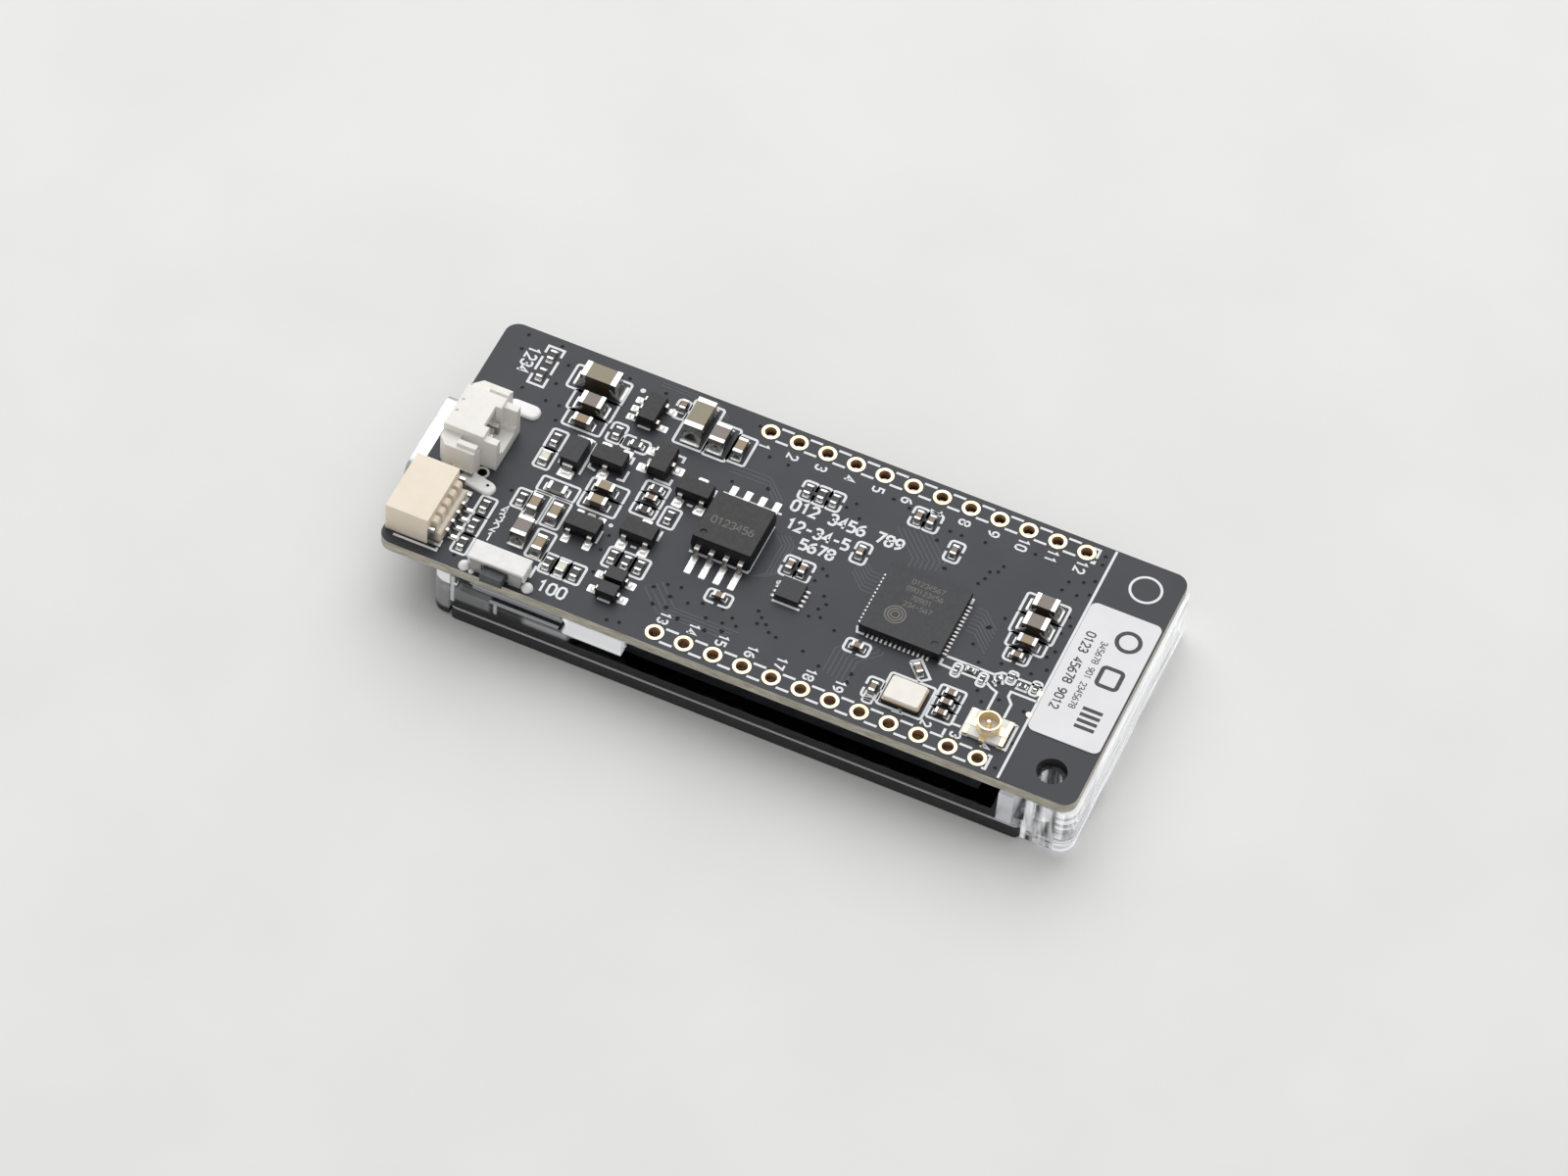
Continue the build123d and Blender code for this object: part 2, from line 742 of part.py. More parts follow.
def expansion_housing():
    mouth = expansion_mouth()
    rear = mouth + expansion_length
    near = expansion_y - expansion_width / 2
    far = expansion_y + expansion_width / 2
    shell = soft_block(mouth, rear, near, far, top_z, top_z + expansion_height, chip_edge * 2)
    cavity = block(mouth - overcut, rear - expansion_wall * 2, near + expansion_wall, far - expansion_wall,
                   top_z + expansion_wall, top_z + expansion_height - expansion_wall)
    shell = shell - cavity
    for y in spread(expansion_count + 1, expansion_pitch):
        middle = expansion_y + y
        rib = block(rear - chip_edge, rear + expansion_rib_depth, middle - expansion_rib_width / 2,
                    middle + expansion_rib_width / 2, top_z, top_z + expansion_rib_height)
        top_edge = rib.edges().filter_by(Axis.Y).group_by(Axis.Z)[-1].sort_by(Axis.X)[-1]
        shell = shell + fillet(top_edge, expansion_rib_depth * nose_round)
    ledge_half = expansion_width / 2 - expansion_wall
    ledge = block(rear - chip_edge, rear + expansion_rib_depth + expansion_ledge_depth,
                  expansion_y - ledge_half, expansion_y + ledge_half, top_z, top_z + expansion_ledge_height)
    top_edge = ledge.edges().filter_by(Axis.Y).group_by(Axis.Z)[-1].sort_by(Axis.X)[-1]
    shell = shell + fillet(top_edge, expansion_ledge_depth * nose_round)
    return (shell - expansion_contacts()).solid()


def expansion_tabs():
    """Upright solder tabs behind the housing's two ends, each with a foot."""
    rear = expansion_mouth() + expansion_length
    tabs = []
    for side in (-1, 1):
        outer = expansion_y + side * expansion_width / 2
        inner = outer - side * expansion_tab
        plate = block(rear, rear + expansion_rib_depth, inner, outer, top_z, top_z + expansion_tab_height)
        foot = block(rear, rear + 2 * expansion_rib_depth, inner, outer, top_z, top_z + expansion_tab)
        tabs.append((plate + foot).solid())
    return group(tabs)


def reset_edges():
    """Left, right, front and rear of the reset switch."""
    front = near_edge + reset_from_edge
    return reset_x - reset_length / 2, reset_x + reset_length / 2, front, front + reset_depth


def reset_plunger():
    """Stem with shoulders that hold it behind the front wall."""
    front, rear = reset_edges()[2:]
    low = top_z + reset_plunger_base
    high = low + reset_plunger_height
    half = reset_plunger_width / 2
    inside = front + reset_front_wall
    back = rear - reset_rear_wall - dome_thickness - press_travel - slide_clearance
    stem = block(reset_x - half, reset_x + half, front - reset_plunger_proud, back, low, high)
    nose = stem.edges().group_by(Axis.Y)[0]
    stem = fillet(nose, chip_edge * 2)
    wide = half + reset_shoulder
    shoulder = block(reset_x - wide, reset_x + wide, inside, inside + reset_shoulder_depth, low, high)
    return stem + shoulder


def reset_body():
    left, right, front, rear = reset_edges()
    body = soft_block(left, right, front, rear, top_z, top_z + reset_height, chip_edge * 2)
    gap = slide_clearance
    low = top_z + reset_plunger_base - gap
    high = top_z + reset_plunger_base + reset_plunger_height + gap
    half = reset_plunger_width / 2 + gap
    gate = block(reset_x - half, reset_x + half, front - overcut, rear - reset_rear_wall, low, high)
    wide = half + reset_shoulder
    room = block(reset_x - wide, reset_x + wide, front + reset_front_wall, rear - reset_rear_wall, low, high)
    notch_half = half + reset_shoulder / 2
    notch = block(reset_x - notch_half, reset_x + notch_half, front - overcut, front + reset_front_wall / 2,
                  top_z - overcut, high + gap)
    return body - gate - room - notch


def reset_cover():
    """White plate over the switch, folded down over both ends."""
    left, right, front, rear = reset_edges()
    high = top_z + reset_height
    cover = block(left - reset_skirt, right + reset_skirt, front, rear, high, high + reset_cover_thickness)
    for side, face in ((-1, left), (1, right)):
        cover = cover + block(face, face + side * reset_skirt, front + reset_skirt, rear - reset_skirt,
                              high - reset_skirt_height, high)
    top_edges = cover.edges().group_by(Axis.Z)[-1]
    return fillet(top_edges, reset_cover_thickness * plate_round)


def reset_legs():
    """Two solder legs at the front corners."""
    left, right, front = reset_edges()[:3]
    low = front + chip_edge * 2
    legs = []
    for side, face in ((-1, left), (1, right)):
        legs.append(block(face, face + side * reset_leg, low, low + reset_leg, top_z, top_z + leg_thickness))
    return group(legs)


def button_x():
    return -board_left + button_from_end


def button_body(side):
    """Hidden-side switch: a box under the board with a well for its plunger."""
    x = button_x()
    y = side * button_y
    low = board_z - button_height
    body = soft_block(x - button_length / 2, x + button_length / 2, y - button_width / 2,
                      y + button_width / 2, low, board_z, chip_edge * 4)
    well_radius = button_plunger / 2 + button_flange + slide_clearance
    well = post(x, y, low - overcut, board_z - button_wall, 2 * well_radius)
    return body - well


def button_cover(side):
    x = button_x()
    y = side * button_y
    low = board_z - button_height
    plate = soft_block(x - button_length / 2, x + button_length / 2, y - button_width / 2,
                       y + button_width / 2, low - button_cover_thickness, low, chip_edge * 4)
    return plate - post(x, y, low - overcut, low + overcut, button_plunger + 2 * slide_clearance)


def button_plunger_solid(side):
    """Round plunger with a flange that stays behind the cover."""
    x = button_x()
    y = side * button_y
    low = board_z - button_height
    stem = post(x, y, low - button_cover_thickness - button_plunger_proud, low, button_plunger)
    lower_rim = stem.edges().group_by(Axis.Z)[0]
    stem = fillet(lower_rim, chip_edge * 3)
    flange = post(x, y, low, low + button_flange_height, button_plunger + 2 * button_flange)
    high = board_z - button_wall - dome_thickness - press_travel - slide_clearance
    return stem + flange + post(x, y, low, high, button_plunger)


def button_legs():
    x = button_x()
    legs = []
    for side in (-1, 1):
        for end in (-1, 1):
            for across in (-1, 1):
                face = x + end * button_length / 2
                y = side * button_y + across * button_leg_spacing / 2
                reach = face + end * button_leg
                legs.append(block(face, reach, y - button_leg / 2, y + button_leg / 2,
                                  board_z - leg_thickness, board_z))
    return group(legs)


def switch_domes():
    """Thin snap plates behind the three plungers."""
    middle = top_z + reset_plunger_base + reset_plunger_height / 2
    back = reset_edges()[3] - reset_rear_wall
    plate = block(reset_x - dome_radius, reset_x + dome_radius, back - dome_thickness, back,
                  middle - reset_plunger_height / 2, middle + reset_plunger_height / 2)
    discs = [post(button_x(), side * button_y, board_z - button_wall - dome_thickness, board_z - button_wall,
                  2 * dome_radius) for side in (-1, 1)]
    return group([plate] + discs)


def mcu_body():
    half = mcu_size / 2
    base = top_z + chip_standoff
    body = soft_block(mcu_x - half, mcu_x + half, mcu_y - half, mcu_y + half, base, base + mcu_height,
                      chip_edge)
    dimple = post(mcu_x + half - mcu_dimple_inset, mcu_y - half + mcu_dimple_inset + chip_edge,
                  base + mcu_height - chip_edge, base + mcu_height + overcut, mcu_dimple)
    return body - dimple


def side_pads(x, y, size, pitch, count, width, inside, outside, turns):
    """Flat pads that reach out from under a leadless chip, on the sides that the turns name."""
    reach = size / 2
    pad = block(reach - inside, reach + outside, -width / 2, width / 2, 0, chip_standoff)
    pads = []
    for turn in turns:
        for offset in spread(count, pitch):
            pads.append(Pos(x, y, top_z) * Rot(0, 0, turn) * Pos(0, offset, 0) * pad)
    return pads


def mcu_pads():
    inner = mcu_size / 2 - 2 * mcu_pad_inside
    belly = block(mcu_x - inner, mcu_x + inner, mcu_y - inner, mcu_y + inner, top_z, top_z + chip_standoff)
    sides = side_pads(mcu_x, mcu_y, mcu_size, mcu_pad_pitch, mcu_pad_count, mcu_pad_width, mcu_pad_inside,
                      mcu_pad_outside, (0, 90, 180, 270))
    return group(sides + [belly])


def logic_chip_body():
    half = logic_size / 2
    base = top_z + chip_standoff
    return soft_block(logic_x - half, logic_x + half, logic_y - half, logic_y + half, base,
                      base + logic_height, chip_edge)


def logic_chip_pads():
    return group(side_pads(logic_x, logic_y, logic_size, logic_pad_pitch, logic_pad_count, logic_pad_width,
                           mcu_pad_inside, mcu_pad_outside, (0, 180)))


def gull_lead(body_half, span, width, exit_height):
    """One bent lead along +X, from a moulded body's side to its foot on the board."""
    toe = span / 2
    run = toe - body_half
    bend = max(min(lead_bend, run * lead_bend_share), lead_thickness * lead_bend_least)
    path = FilletPolyline((body_half, 0, exit_height), (body_half + run * lead_shoulder, 0, exit_height),
                          (body_half + run * lead_ankle, 0, lead_thickness / 2), (toe, 0, lead_thickness / 2),
                          radius=bend)
    section = Plane(origin=(body_half, 0, exit_height), x_dir=(0, 1, 0), z_dir=(1, 0, 0))
    return sweep(section * Rectangle(width, lead_thickness), path=path)


def moulded_body(length, width, height):
    """Black moulded body with slightly drawn-in upper and lower halves."""
    middle = Pos(0, 0, chip_standoff + height / 2) * Rectangle(length, width)
    upper = extrude(middle, amount=height / 2, taper=mould_draft)
    lower = extrude(middle, amount=-height / 2, taper=mould_draft)
    return (upper + lower).solid()


def flash_body():
    body = Pos(flash_x, flash_y, top_z) * moulded_body(flash_size, flash_size, flash_height)
    corner = flash_size / 2 - mcu_dimple_inset
    dimple = post(flash_x - corner, flash_y - corner, top_z + flash_height - chip_edge,
                  top_z + flash_height + overcut, mcu_dimple)
    return body - dimple


def flash_leads():
    exit_height = (flash_height + chip_standoff * 2) / 2
    lead = gull_lead(flash_size / 2, flash_lead_span, flash_lead_width, exit_height)
    leads = []
    for turn in (90, 270):
        for offset in spread(flash_lead_count, flash_lead_pitch):
            leads.append(Pos(flash_x, flash_y, top_z) * Rot(0, 0, turn) * Pos(0, offset, 0) * lead)
    return group(leads)


def outline_leads(upper_offsets, lower_offsets):
    """Leads of a small-outline body along both of its long sides."""
    lead = gull_lead(small_outline_width / 2, small_outline_span, small_outline_lead,
                     (small_outline_height + chip_standoff * 2) / 2)
    leads = [Rot(0, 0, 90) * Pos(0, offset, 0) * lead for offset in upper_offsets]
    return leads + [Rot(0, 0, 270) * Pos(0, offset, 0) * lead for offset in lower_offsets]


def diode_leads(length, span, width, height):
    lead = gull_lead(length / 2, span, width, (height + chip_standoff * 2) / 2)
    return [lead, Rot(0, 0, 180) * lead]


def chip_body(size, inset=0.0):
    """Ceramic between the two end bands of a chip part."""
    length, width, height, band = size
    return block(band - length / 2, length / 2 - band, inset - width / 2, width / 2 - inset,
                 band_proud, height - inset - band_proud)


def chip_ends(size):
    """The two end bands, slightly proud of the ceramic, with soft edges."""
    length, width, height, band = size
    half = width / 2 + band_proud / 2
    right = block(length / 2 - band, length / 2, -half, half, 0, height)
    outer = right.faces().sort_by(Axis.X)[-1].edges()
    right = fillet(outer, chip_edge)
    return [right, Rot(0, 0, 180) * right]


def chips(sizes_and_places, part):
    """Copies of one sub-part of each chip size at its places."""
    solids = []
    for size, places in sizes_and_places:
        shapes = part(size)
        for shape in shapes if isinstance(shapes, list) else [shapes]:
            solids += placed(shape, places)
    return group(solids)


def crystal_base():
    half_length = crystal_length / 2
    half_width = crystal_width / 2
    return soft_block(crystal_x - half_length, crystal_x + half_length, crystal_y - half_width,
                      crystal_y + half_width, top_z, top_z + crystal_base_height, chip_edge * 4)


def crystal_lid():
    half_length = crystal_length / 2 - crystal_lid_inset
    half_width = crystal_width / 2 - crystal_lid_inset
    base = top_z + crystal_base_height
    lid = soft_block(crystal_x - half_length, crystal_x + half_length, crystal_y - half_width,
                     crystal_y + half_width, base, base + crystal_lid_height, chip_edge * 5)
    return fillet(lid.edges().group_by(Axis.Z)[-1], chip_edge * 2)


def antenna_base():
    half_length = antenna_length / 2
    half_width = antenna_width / 2
    base = soft_block(antenna_x - half_length, antenna_x + half_length, antenna_y - half_width,
                      antenna_y + half_width, top_z, top_z + antenna_base_height, chip_edge * 2)
    return base - antenna_pin_solid()


def antenna_ring_solid():
    """Outer contact with its snap groove, and two feet beside the base."""
    foot_z = top_z + antenna_base_height
    high = top_z + antenna_height
    ring = post(antenna_x, antenna_y, foot_z, high, antenna_ring)
    bore = post(antenna_x, antenna_y, foot_z - overcut, high + overcut, antenna_ring - 2 * antenna_ring_wall)
    groove = Pos(antenna_x, antenna_y, foot_z + antenna_groove_height) * Torus(antenna_ring / 2, antenna_groove)
    ring = ring - bore - groove
    for side in (-1, 1):
        edge = antenna_x + side * antenna_length / 2
        foot = block(edge, edge + side * antenna_foot, antenna_y - antenna_width / 2,
                     antenna_y + antenna_width / 2, top_z, foot_z)
        in_wall = antenna_x + side * (antenna_ring - antenna_ring_wall) / 2
        strap = block(in_wall, edge + side * antenna_foot, antenna_y - antenna_foot,
                      antenna_y + antenna_foot, foot_z, foot_z + antenna_strap)
        ring = ring + foot + strap
    return ring.solid()


def antenna_pin_solid():
    """Centre contact on its strip, which leaves the base at the near side."""
    tail = antenna_y - antenna_width / 2 - antenna_foot / 2
    strip = block(antenna_x - antenna_pin / 2, antenna_x + antenna_pin / 2, tail, antenna_y, top_z,
                  top_z + antenna_base_height)
    stem = post(antenna_x, antenna_y, top_z, top_z + antenna_height - antenna_pin_drop,
                antenna_pin)
    return strip + fillet(stem.edges().group_by(Axis.Z)[-1], antenna_pin * pin_round)


large_capacitors = ((size_1206, places_1206), (size_0805, places_0805))
small_capacitors = ((size_0603, places_0603), (size_0402, places_0402))
resistors = (
    (resistor_0402, places_resistor_0402), (resistor_0603, places_resistor_0603),
    (resistor_0201, places_resistor_0201),
)
indicators = ((led_0603, places_led),)
outer_leads = (-small_outline_pitch, small_outline_pitch)
five_leads = outline_leads((-small_outline_pitch, 0, small_outline_pitch), outer_leads)
three_leads = outline_leads((0,), outer_leads)
outline_body = moulded_body(small_outline_length, small_outline_width, small_outline_height)
large_diode = moulded_body(large_diode_length, large_diode_width, large_diode_height)
small_diode = moulded_body(small_diode_length, small_diode_width, small_diode_height)
large_diode_leads = diode_leads(large_diode_length, large_diode_span, large_diode_lead, large_diode_height)
small_diode_leads = diode_leads(small_diode_length, small_diode_span, small_diode_lead, small_diode_height)

os.makedirs("parts", exist_ok=True)
save("circuit_board", circuit_board())
save("header_rings", header_rings())
save("label_sticker", label_sticker())
save("test_points", test_points())
save("clear_frame", clear_frame())
save("display_foam", display_foam())
save("display_tray", display_tray())
save("display_glass", display_layer(0, glass_thickness))
save("display_light_guide", display_layer(glass_thickness, display_thickness - tray_back))
save("display_flex", display_flex())
save("flex_socket", flex_socket())
save("flex_flap", flex_flap())
save("usb_shell", usb_shell())
save("usb_tongue", usb_tongue())
save("usb_pegs", usb_pegs())
save("usb_contacts", usb_contacts())
save("battery_housing", battery_housing())
save("battery_contacts", group(battery_contact_solid(y) for y in battery_contact_places()))
save("battery_tabs", battery_tabs())
save("expansion_housing", expansion_housing())
save("expansion_contacts", group(expansion_contacts()))
save("expansion_tabs", expansion_tabs())
save("reset_body", reset_body())
save("reset_cover", reset_cover())
save("reset_plunger", reset_plunger())
save("reset_legs", reset_legs())
save("button_bodies", group(button_body(side) for side in (-1, 1)))
save("button_covers", group(button_cover(side) for side in (-1, 1)))
save("button_legs", button_legs())
save("boot_plunger", button_plunger_solid(-1))
save("user_plunger", button_plunger_solid(1))
save("switch_domes", switch_domes())
save("mcu_body", mcu_body())
save("mcu_pads", mcu_pads())
save("flash_body", flash_body())
save("flash_leads", flash_leads())
save("logic_chip_body", logic_chip_body())
save("logic_chip_pads", logic_chip_pads())
save("regulator_bodies", group(placed(outline_body, places_regulator)))
save("regulator_leads", group(copies(five_leads, places_regulator)))
save("transistor_bodies", group(placed(outline_body, places_transistor)))
save("transistor_leads", group(copies(three_leads, places_transistor)))
save("diode_bodies", group(copies([large_diode], places_large_diode)
                           + copies([small_diode], places_small_diode)))
save("diode_leads", group(copies(large_diode_leads, places_large_diode)
                          + copies(small_diode_leads, places_small_diode)))
save("crystal_base", crystal_base())
save("crystal_lid", crystal_lid())
save("antenna_base", antenna_base())
save("antenna_ring", antenna_ring_solid())
save("antenna_pin", antenna_pin_solid())
save("large_capacitor_bodies", chips(large_capacitors, chip_body))
save("large_capacitor_ends", chips(large_capacitors, chip_ends))
save("small_capacitor_bodies", chips(small_capacitors, chip_body))
save("small_capacitor_ends", chips(small_capacitors, chip_ends))
save("resistor_bodies", chips(resistors, chip_body))
save("resistor_ends", chips(resistors, chip_ends))
save("indicator_lights", chips(indicators, chip_body))
save("indicator_ends", chips(indicators, chip_ends))
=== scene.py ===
import math

import bmesh
import bpy
from mathutils import Matrix, Vector


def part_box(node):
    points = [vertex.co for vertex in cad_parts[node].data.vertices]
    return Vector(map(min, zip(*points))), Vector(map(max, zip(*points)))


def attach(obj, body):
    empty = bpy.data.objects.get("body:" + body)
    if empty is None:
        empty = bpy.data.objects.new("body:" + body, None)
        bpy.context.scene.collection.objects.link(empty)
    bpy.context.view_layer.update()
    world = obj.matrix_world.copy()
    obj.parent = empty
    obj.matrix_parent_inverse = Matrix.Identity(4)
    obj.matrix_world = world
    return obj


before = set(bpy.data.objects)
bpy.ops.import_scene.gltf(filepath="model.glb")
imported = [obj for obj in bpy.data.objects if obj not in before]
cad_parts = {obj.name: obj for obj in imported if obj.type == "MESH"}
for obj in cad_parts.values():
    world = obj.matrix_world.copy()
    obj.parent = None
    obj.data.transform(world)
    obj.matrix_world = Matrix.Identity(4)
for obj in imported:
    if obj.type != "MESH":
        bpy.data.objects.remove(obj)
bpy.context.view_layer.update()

# Lengths below are in millimetres, and every piece is made in metres.
mm = 0.001
same_place = 1e-7           # metres within which two points are one
board_low, board_high = (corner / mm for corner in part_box("circuit_board"))
top = board_high.z
under = board_low.z
ink_height = 0.02
track_height = 0.012
line_width = 0.22
corner_steps = 4
box_corner = 0.22
split_corner = 0.3
split_gap = 0.18            # half the gap between two halves
sharpest_turn = 0.5         # keeps a ribbon's corners from growing long
ring_steps = 32
quarter_turn = -90

# Printed outlines on the component side: left, low, right, high
closed_boxes = (
    (-31.0, 8.4, -26.1, 10.9),
    (-30.05, 6.35, -26.15, 8.4), (-29.7, 4.65, -26.3, 6.35), (-29.95, 1.75, -28.6, 3.9),
    (-29.95, -0.35, -28.6, 1.75), (-28.6, -2.5, -25.3, -0.9), (-29.8, -4.9, -28.6, -2.9),
    (-26.9, -5.6, -25.3, -2.6), (-28.55, -5.6, -27.05, -2.6), (-32.15, -7.05, -30.8, -4.95),
    (-32.15, -9.15, -30.8, -7.05), (-32.15, -11.2, -30.8, -9.15), (-20.8, 6.95, -18.2, 11.8),
    (-18.15, 6.85, -16.1, 10.5), (-16.1, 7.1, -14.5, 10.1), (-24.95, -0.88, -21.7, 0.72),
    (-24.95, -2.5, -21.7, -0.88), (-20.9, 1.15, -18.8, 2.4), (-20.9, -0.05, -18.8, 1.15),
    (-20.9, -1.25, -18.8, -0.05), (-18.35, -1.45, -17.0, 0.65), (-20.7, -7.15, -19.55, -5.1),
    (-19.55, -7.15, -18.35, -5.1), (-18.35, -7.15, -17.1, -5.1), (-25.0, -9.95, -23.9, -7.95),
    (-23.9, -9.95, -22.75, -7.95), (-22.75, -9.95, -21.45, -7.95), (-26.6, -9.0, -25.05, -6.0),
    (11.3, 3.5, 15.0, 5.6), (11.3, 1.35, 15.0, 3.5), (11.55, -0.05, 14.75, 1.35),
    (8.65, -7.2, 10.8, -5.95), (8.65, -8.25, 10.8, -7.2), (8.65, -9.45, 10.8, -8.25),
    (4.6, -10.0, 8.45, -6.65), (8.8, -4.85, 9.45, -3.5), (11.0, -4.85, 11.65, -3.5),
    (13.05, -3.6, 13.75, -2.3), (15.15, -3.8, 15.85, -2.4),
)
# Outlines in two halves, with a gap in the middle of their long sides
split_boxes = (
    (-25.8, 4.65, -24.5, 6.75), (-24.45, 4.6, -22.15, 5.95), (-22.0, 9.3, -20.9, 11.3),
    (-9.35, 6.15, -8.15, 8.15), (-8.15, 6.15, -6.95, 8.15), (-6.95, 6.15, -5.75, 8.15),
    (-3.0, 2.1, -1.75, 4.3), (-7.6, -1.6, -6.35, 0.5), (-6.35, -1.6, -5.1, 0.5),
    (-11.85, -6.7, -9.7, -5.4), (0.1, -6.3, 2.15, -5.0), (-0.25, 7.65, 0.95, 9.7),
    (0.95, 7.65, 2.2, 9.7), (3.7, 5.6, 4.95, 7.75), (3.2, -9.85, 4.5, -7.75), (11.9, -1.45, 13.95, -0.05),
)
printed_lines = (
    ((-34.0, 10.8), (-34.0, 11.6), (-32.6, 11.6), (-32.6, 10.8)), ((-34.0, 10.35), (-34.0, 8.8)),
    ((-32.6, 10.35), (-32.6, 8.8)), ((-34.0, 8.35), (-34.0, 7.35), (-32.6, 7.35), (-32.6, 8.35)),
    ((16.15, -12.5), (16.15, 12.6)),
    ((14.3, 12.1), (14.9, 12.1), (14.9, 11.2)), ((14.9, 10.9), (14.9, 10.65), (14.6, 10.65)),
    ((14.6, -10.8), (14.9, -10.8), (14.9, -12.15), (14.6, -12.15)),
    ((-27.9, 4.05), (-26.3, 4.05)), ((-26.1, 4.0), (-26.1, 0.4)), ((-28.1, 3.8), (-28.1, 0.8)),
    ((-36.9, -11.75), (-33.1, -11.75), (-33.1, -10.6)), ((-33.7, -5.2), (-33.1, -5.2), (-33.1, -6.3)),
    ((-24.0, 7.2), (-22.9, 7.2)), ((-19.9, 5.8), (-19.1, 5.8), (-19.1, 5.2)),
    ((-20.5, 2.7), (-19.1, 2.7), (-19.1, 3.3)), ((-21.6, 4.5), (-21.6, 4.0)),
    ((-25.75, 2.5), (-25.75, 1.5), (-25.1, 1.35)), ((-22.6, 2.5), (-22.6, 1.4), (-23.2, 1.35)),
    ((-25.6, 3.85), (-24.7, 3.85)), ((-23.6, 3.95), (-22.8, 3.9), (-22.8, 3.2)),
    ((-17.2, 4.1), (-16.3, 4.1)), ((-15.4, 3.9), (-15.4, 3.1)), ((-17.0, 1.5), (-16.5, 1.5)),
    ((-19.5, -1.75), (-18.7, -1.75)), ((-17.6, -1.9), (-17.6, -3.0)), ((-19.3, -4.4), (-18.8, -4.4)),
    ((-21.95, -4.0), (-21.95, -5.4)), ((-19.5, -10.35), (-18.4, -10.35)), ((-25.2, -9.6), (-25.2, -10.9)),
    ((-9.75, -2.6), (-9.75, 2.6)), ((-14.9, 3.97), (-9.7, 3.97)), ((-14.9, -2.7), (-9.7, -2.7)),
    ((-6.9, -4.3), (-4.5, -4.3)), ((0.3, -3.6), (0.5, -4.2), (1.1, -4.2)), ((7.6, 3.0), (7.6, 2.4)),
    ((7.7, -3.6), (7.7, -4.2), (8.7, -4.25)), ((7.9, -3.25), (12.0, -3.25), (12.5, -2.8), (16.0, -2.8)),
    ((9.5, -4.25), (10.9, -4.25)), ((11.7, -4.25), (12.3, -4.6), (12.85, -4.8), (12.85, -6.7)),
    ((16.1, -4.25), (13.85, -4.25), (13.85, -4.8), (14.35, -5.4), (14.35, -6.9)),
    ((9.6, -3.4), (10.75, -3.4)), ((14.0, -3.75), (15.0, -3.75)), ((12.05, -3.3), (12.55, -4.3)),
    ((12.5, -3.0), (13.0, -3.9)), ((5.5, -5.05), (6.2, -4.45), (7.6, -5.95), (6.9, -6.55), (5.5, -5.05)),
    ((12.2, -7.1), (11.8, -7.1), (11.8, -9.75), (12.4, -9.75)), ((15.0, -7.15), (15.65, -7.15)),
    ((15.65, -7.15), (15.65, -9.75), (14.9, -9.75)), ((10.9, -9.2), (11.6, -9.2)),
    ((10.6, -9.9), (10.6, -10.6)),
)
printed_dots = ((-25.1, 10.7, 0.24), (-21.6, -3.2, 0.2), (-7.13, -2.47, 0.2))
hole_mark = (19.7, 10.0, 1.3)

# Plain numbers on the circuit board: text, centre x, centre y, height, turn, stroke
number_lines = (
    ("012 3456 789", -4.5, 5.35, 1.06, 0, 0.23), ("12-34-5", -6.25, 3.45, 1.03, 0, 0.23),
    ("5678", -5.7, 1.95, 1.0, 0, 0.23), ("1234", -34.9, 9.5, 0.95, -90, 0.19),
    ("100", -23.1, -11.2, 1.1, 0, 0.21),
    ("1", -29.9, -8.6, 0.85, 0, 0.15), ("2", -29.9, -7.5, 0.85, 0, 0.15), ("3", -29.9, -6.45, 0.85, 0, 0.15),
    ("4", -29.9, -5.5, 0.85, 0, 0.15),
)
pin_number_height = 0.88
near_number_height = 0.8
pin_number_gap = 1.62
last_long_number = 21       # above it, only the last figure is printed
short_number_gap = 1.3
pin_number_shift = 0.1
pin_number_stroke = 0.17

# Dashes between the rings of a header row: their distance from a ring's centre along and across
dash_start = 0.72
dash_across = (-0.72, 0.68)

# Strokes of each figure in a box as wide as a figure and 1 high
figure_width = 0.55
figures = {
    "0": (((0.14, 0), (0.41, 0), (0.55, 0.2), (0.55, 0.8), (0.41, 1), (0.14, 1), (0, 0.8), (0, 0.2),
           (0.14, 0)),),
    "1": (((0.08, 0.78), (0.3, 1), (0.3, 0)),),
    "2": (((0, 0.8), (0.14, 1), (0.41, 1), (0.55, 0.8), (0.55, 0.6), (0, 0), (0.55, 0)),),
    "3": (((0, 0.85), (0.14, 1), (0.41, 1), (0.55, 0.82), (0.55, 0.65), (0.38, 0.52)),
          ((0.38, 0.52), (0.55, 0.38), (0.55, 0.18), (0.41, 0), (0.14, 0), (0, 0.15)),
          ((0.2, 0.52), (0.38, 0.52))),
    "4": (((0.42, 0), (0.42, 1), (0, 0.3), (0.55, 0.3)),),
    "5": (((0.52, 1), (0.04, 1), (0.02, 0.58), (0.4, 0.58), (0.55, 0.42), (0.55, 0.16), (0.41, 0), (0, 0)),),
    "6": (((0.48, 1), (0.14, 0.8), (0, 0.5), (0, 0.18), (0.14, 0), (0.41, 0), (0.55, 0.18), (0.55, 0.4),
           (0.41, 0.55), (0.04, 0.5)),),
    "7": (((0, 1), (0.55, 1), (0.2, 0)),),
    "8": (((0.14, 0.53), (0, 0.7), (0, 0.85), (0.14, 1), (0.41, 1), (0.55, 0.85), (0.55, 0.7), (0.41, 0.53),
           (0.14, 0.53)),
          ((0.14, 0.53), (0, 0.36), (0, 0.17), (0.14, 0), (0.41, 0), (0.55, 0.17), (0.55, 0.36),
           (0.41, 0.53))),
    "9": (((0.07, 0), (0.41, 0.2), (0.55, 0.5), (0.55, 0.82), (0.41, 1), (0.14, 1), (0, 0.82), (0, 0.6),
           (0.14, 0.45), (0.51, 0.5)),),
    "-": (((0.05, 0.5), (0.5, 0.5)),),
    " ": (),
}
figure_step = 0.78

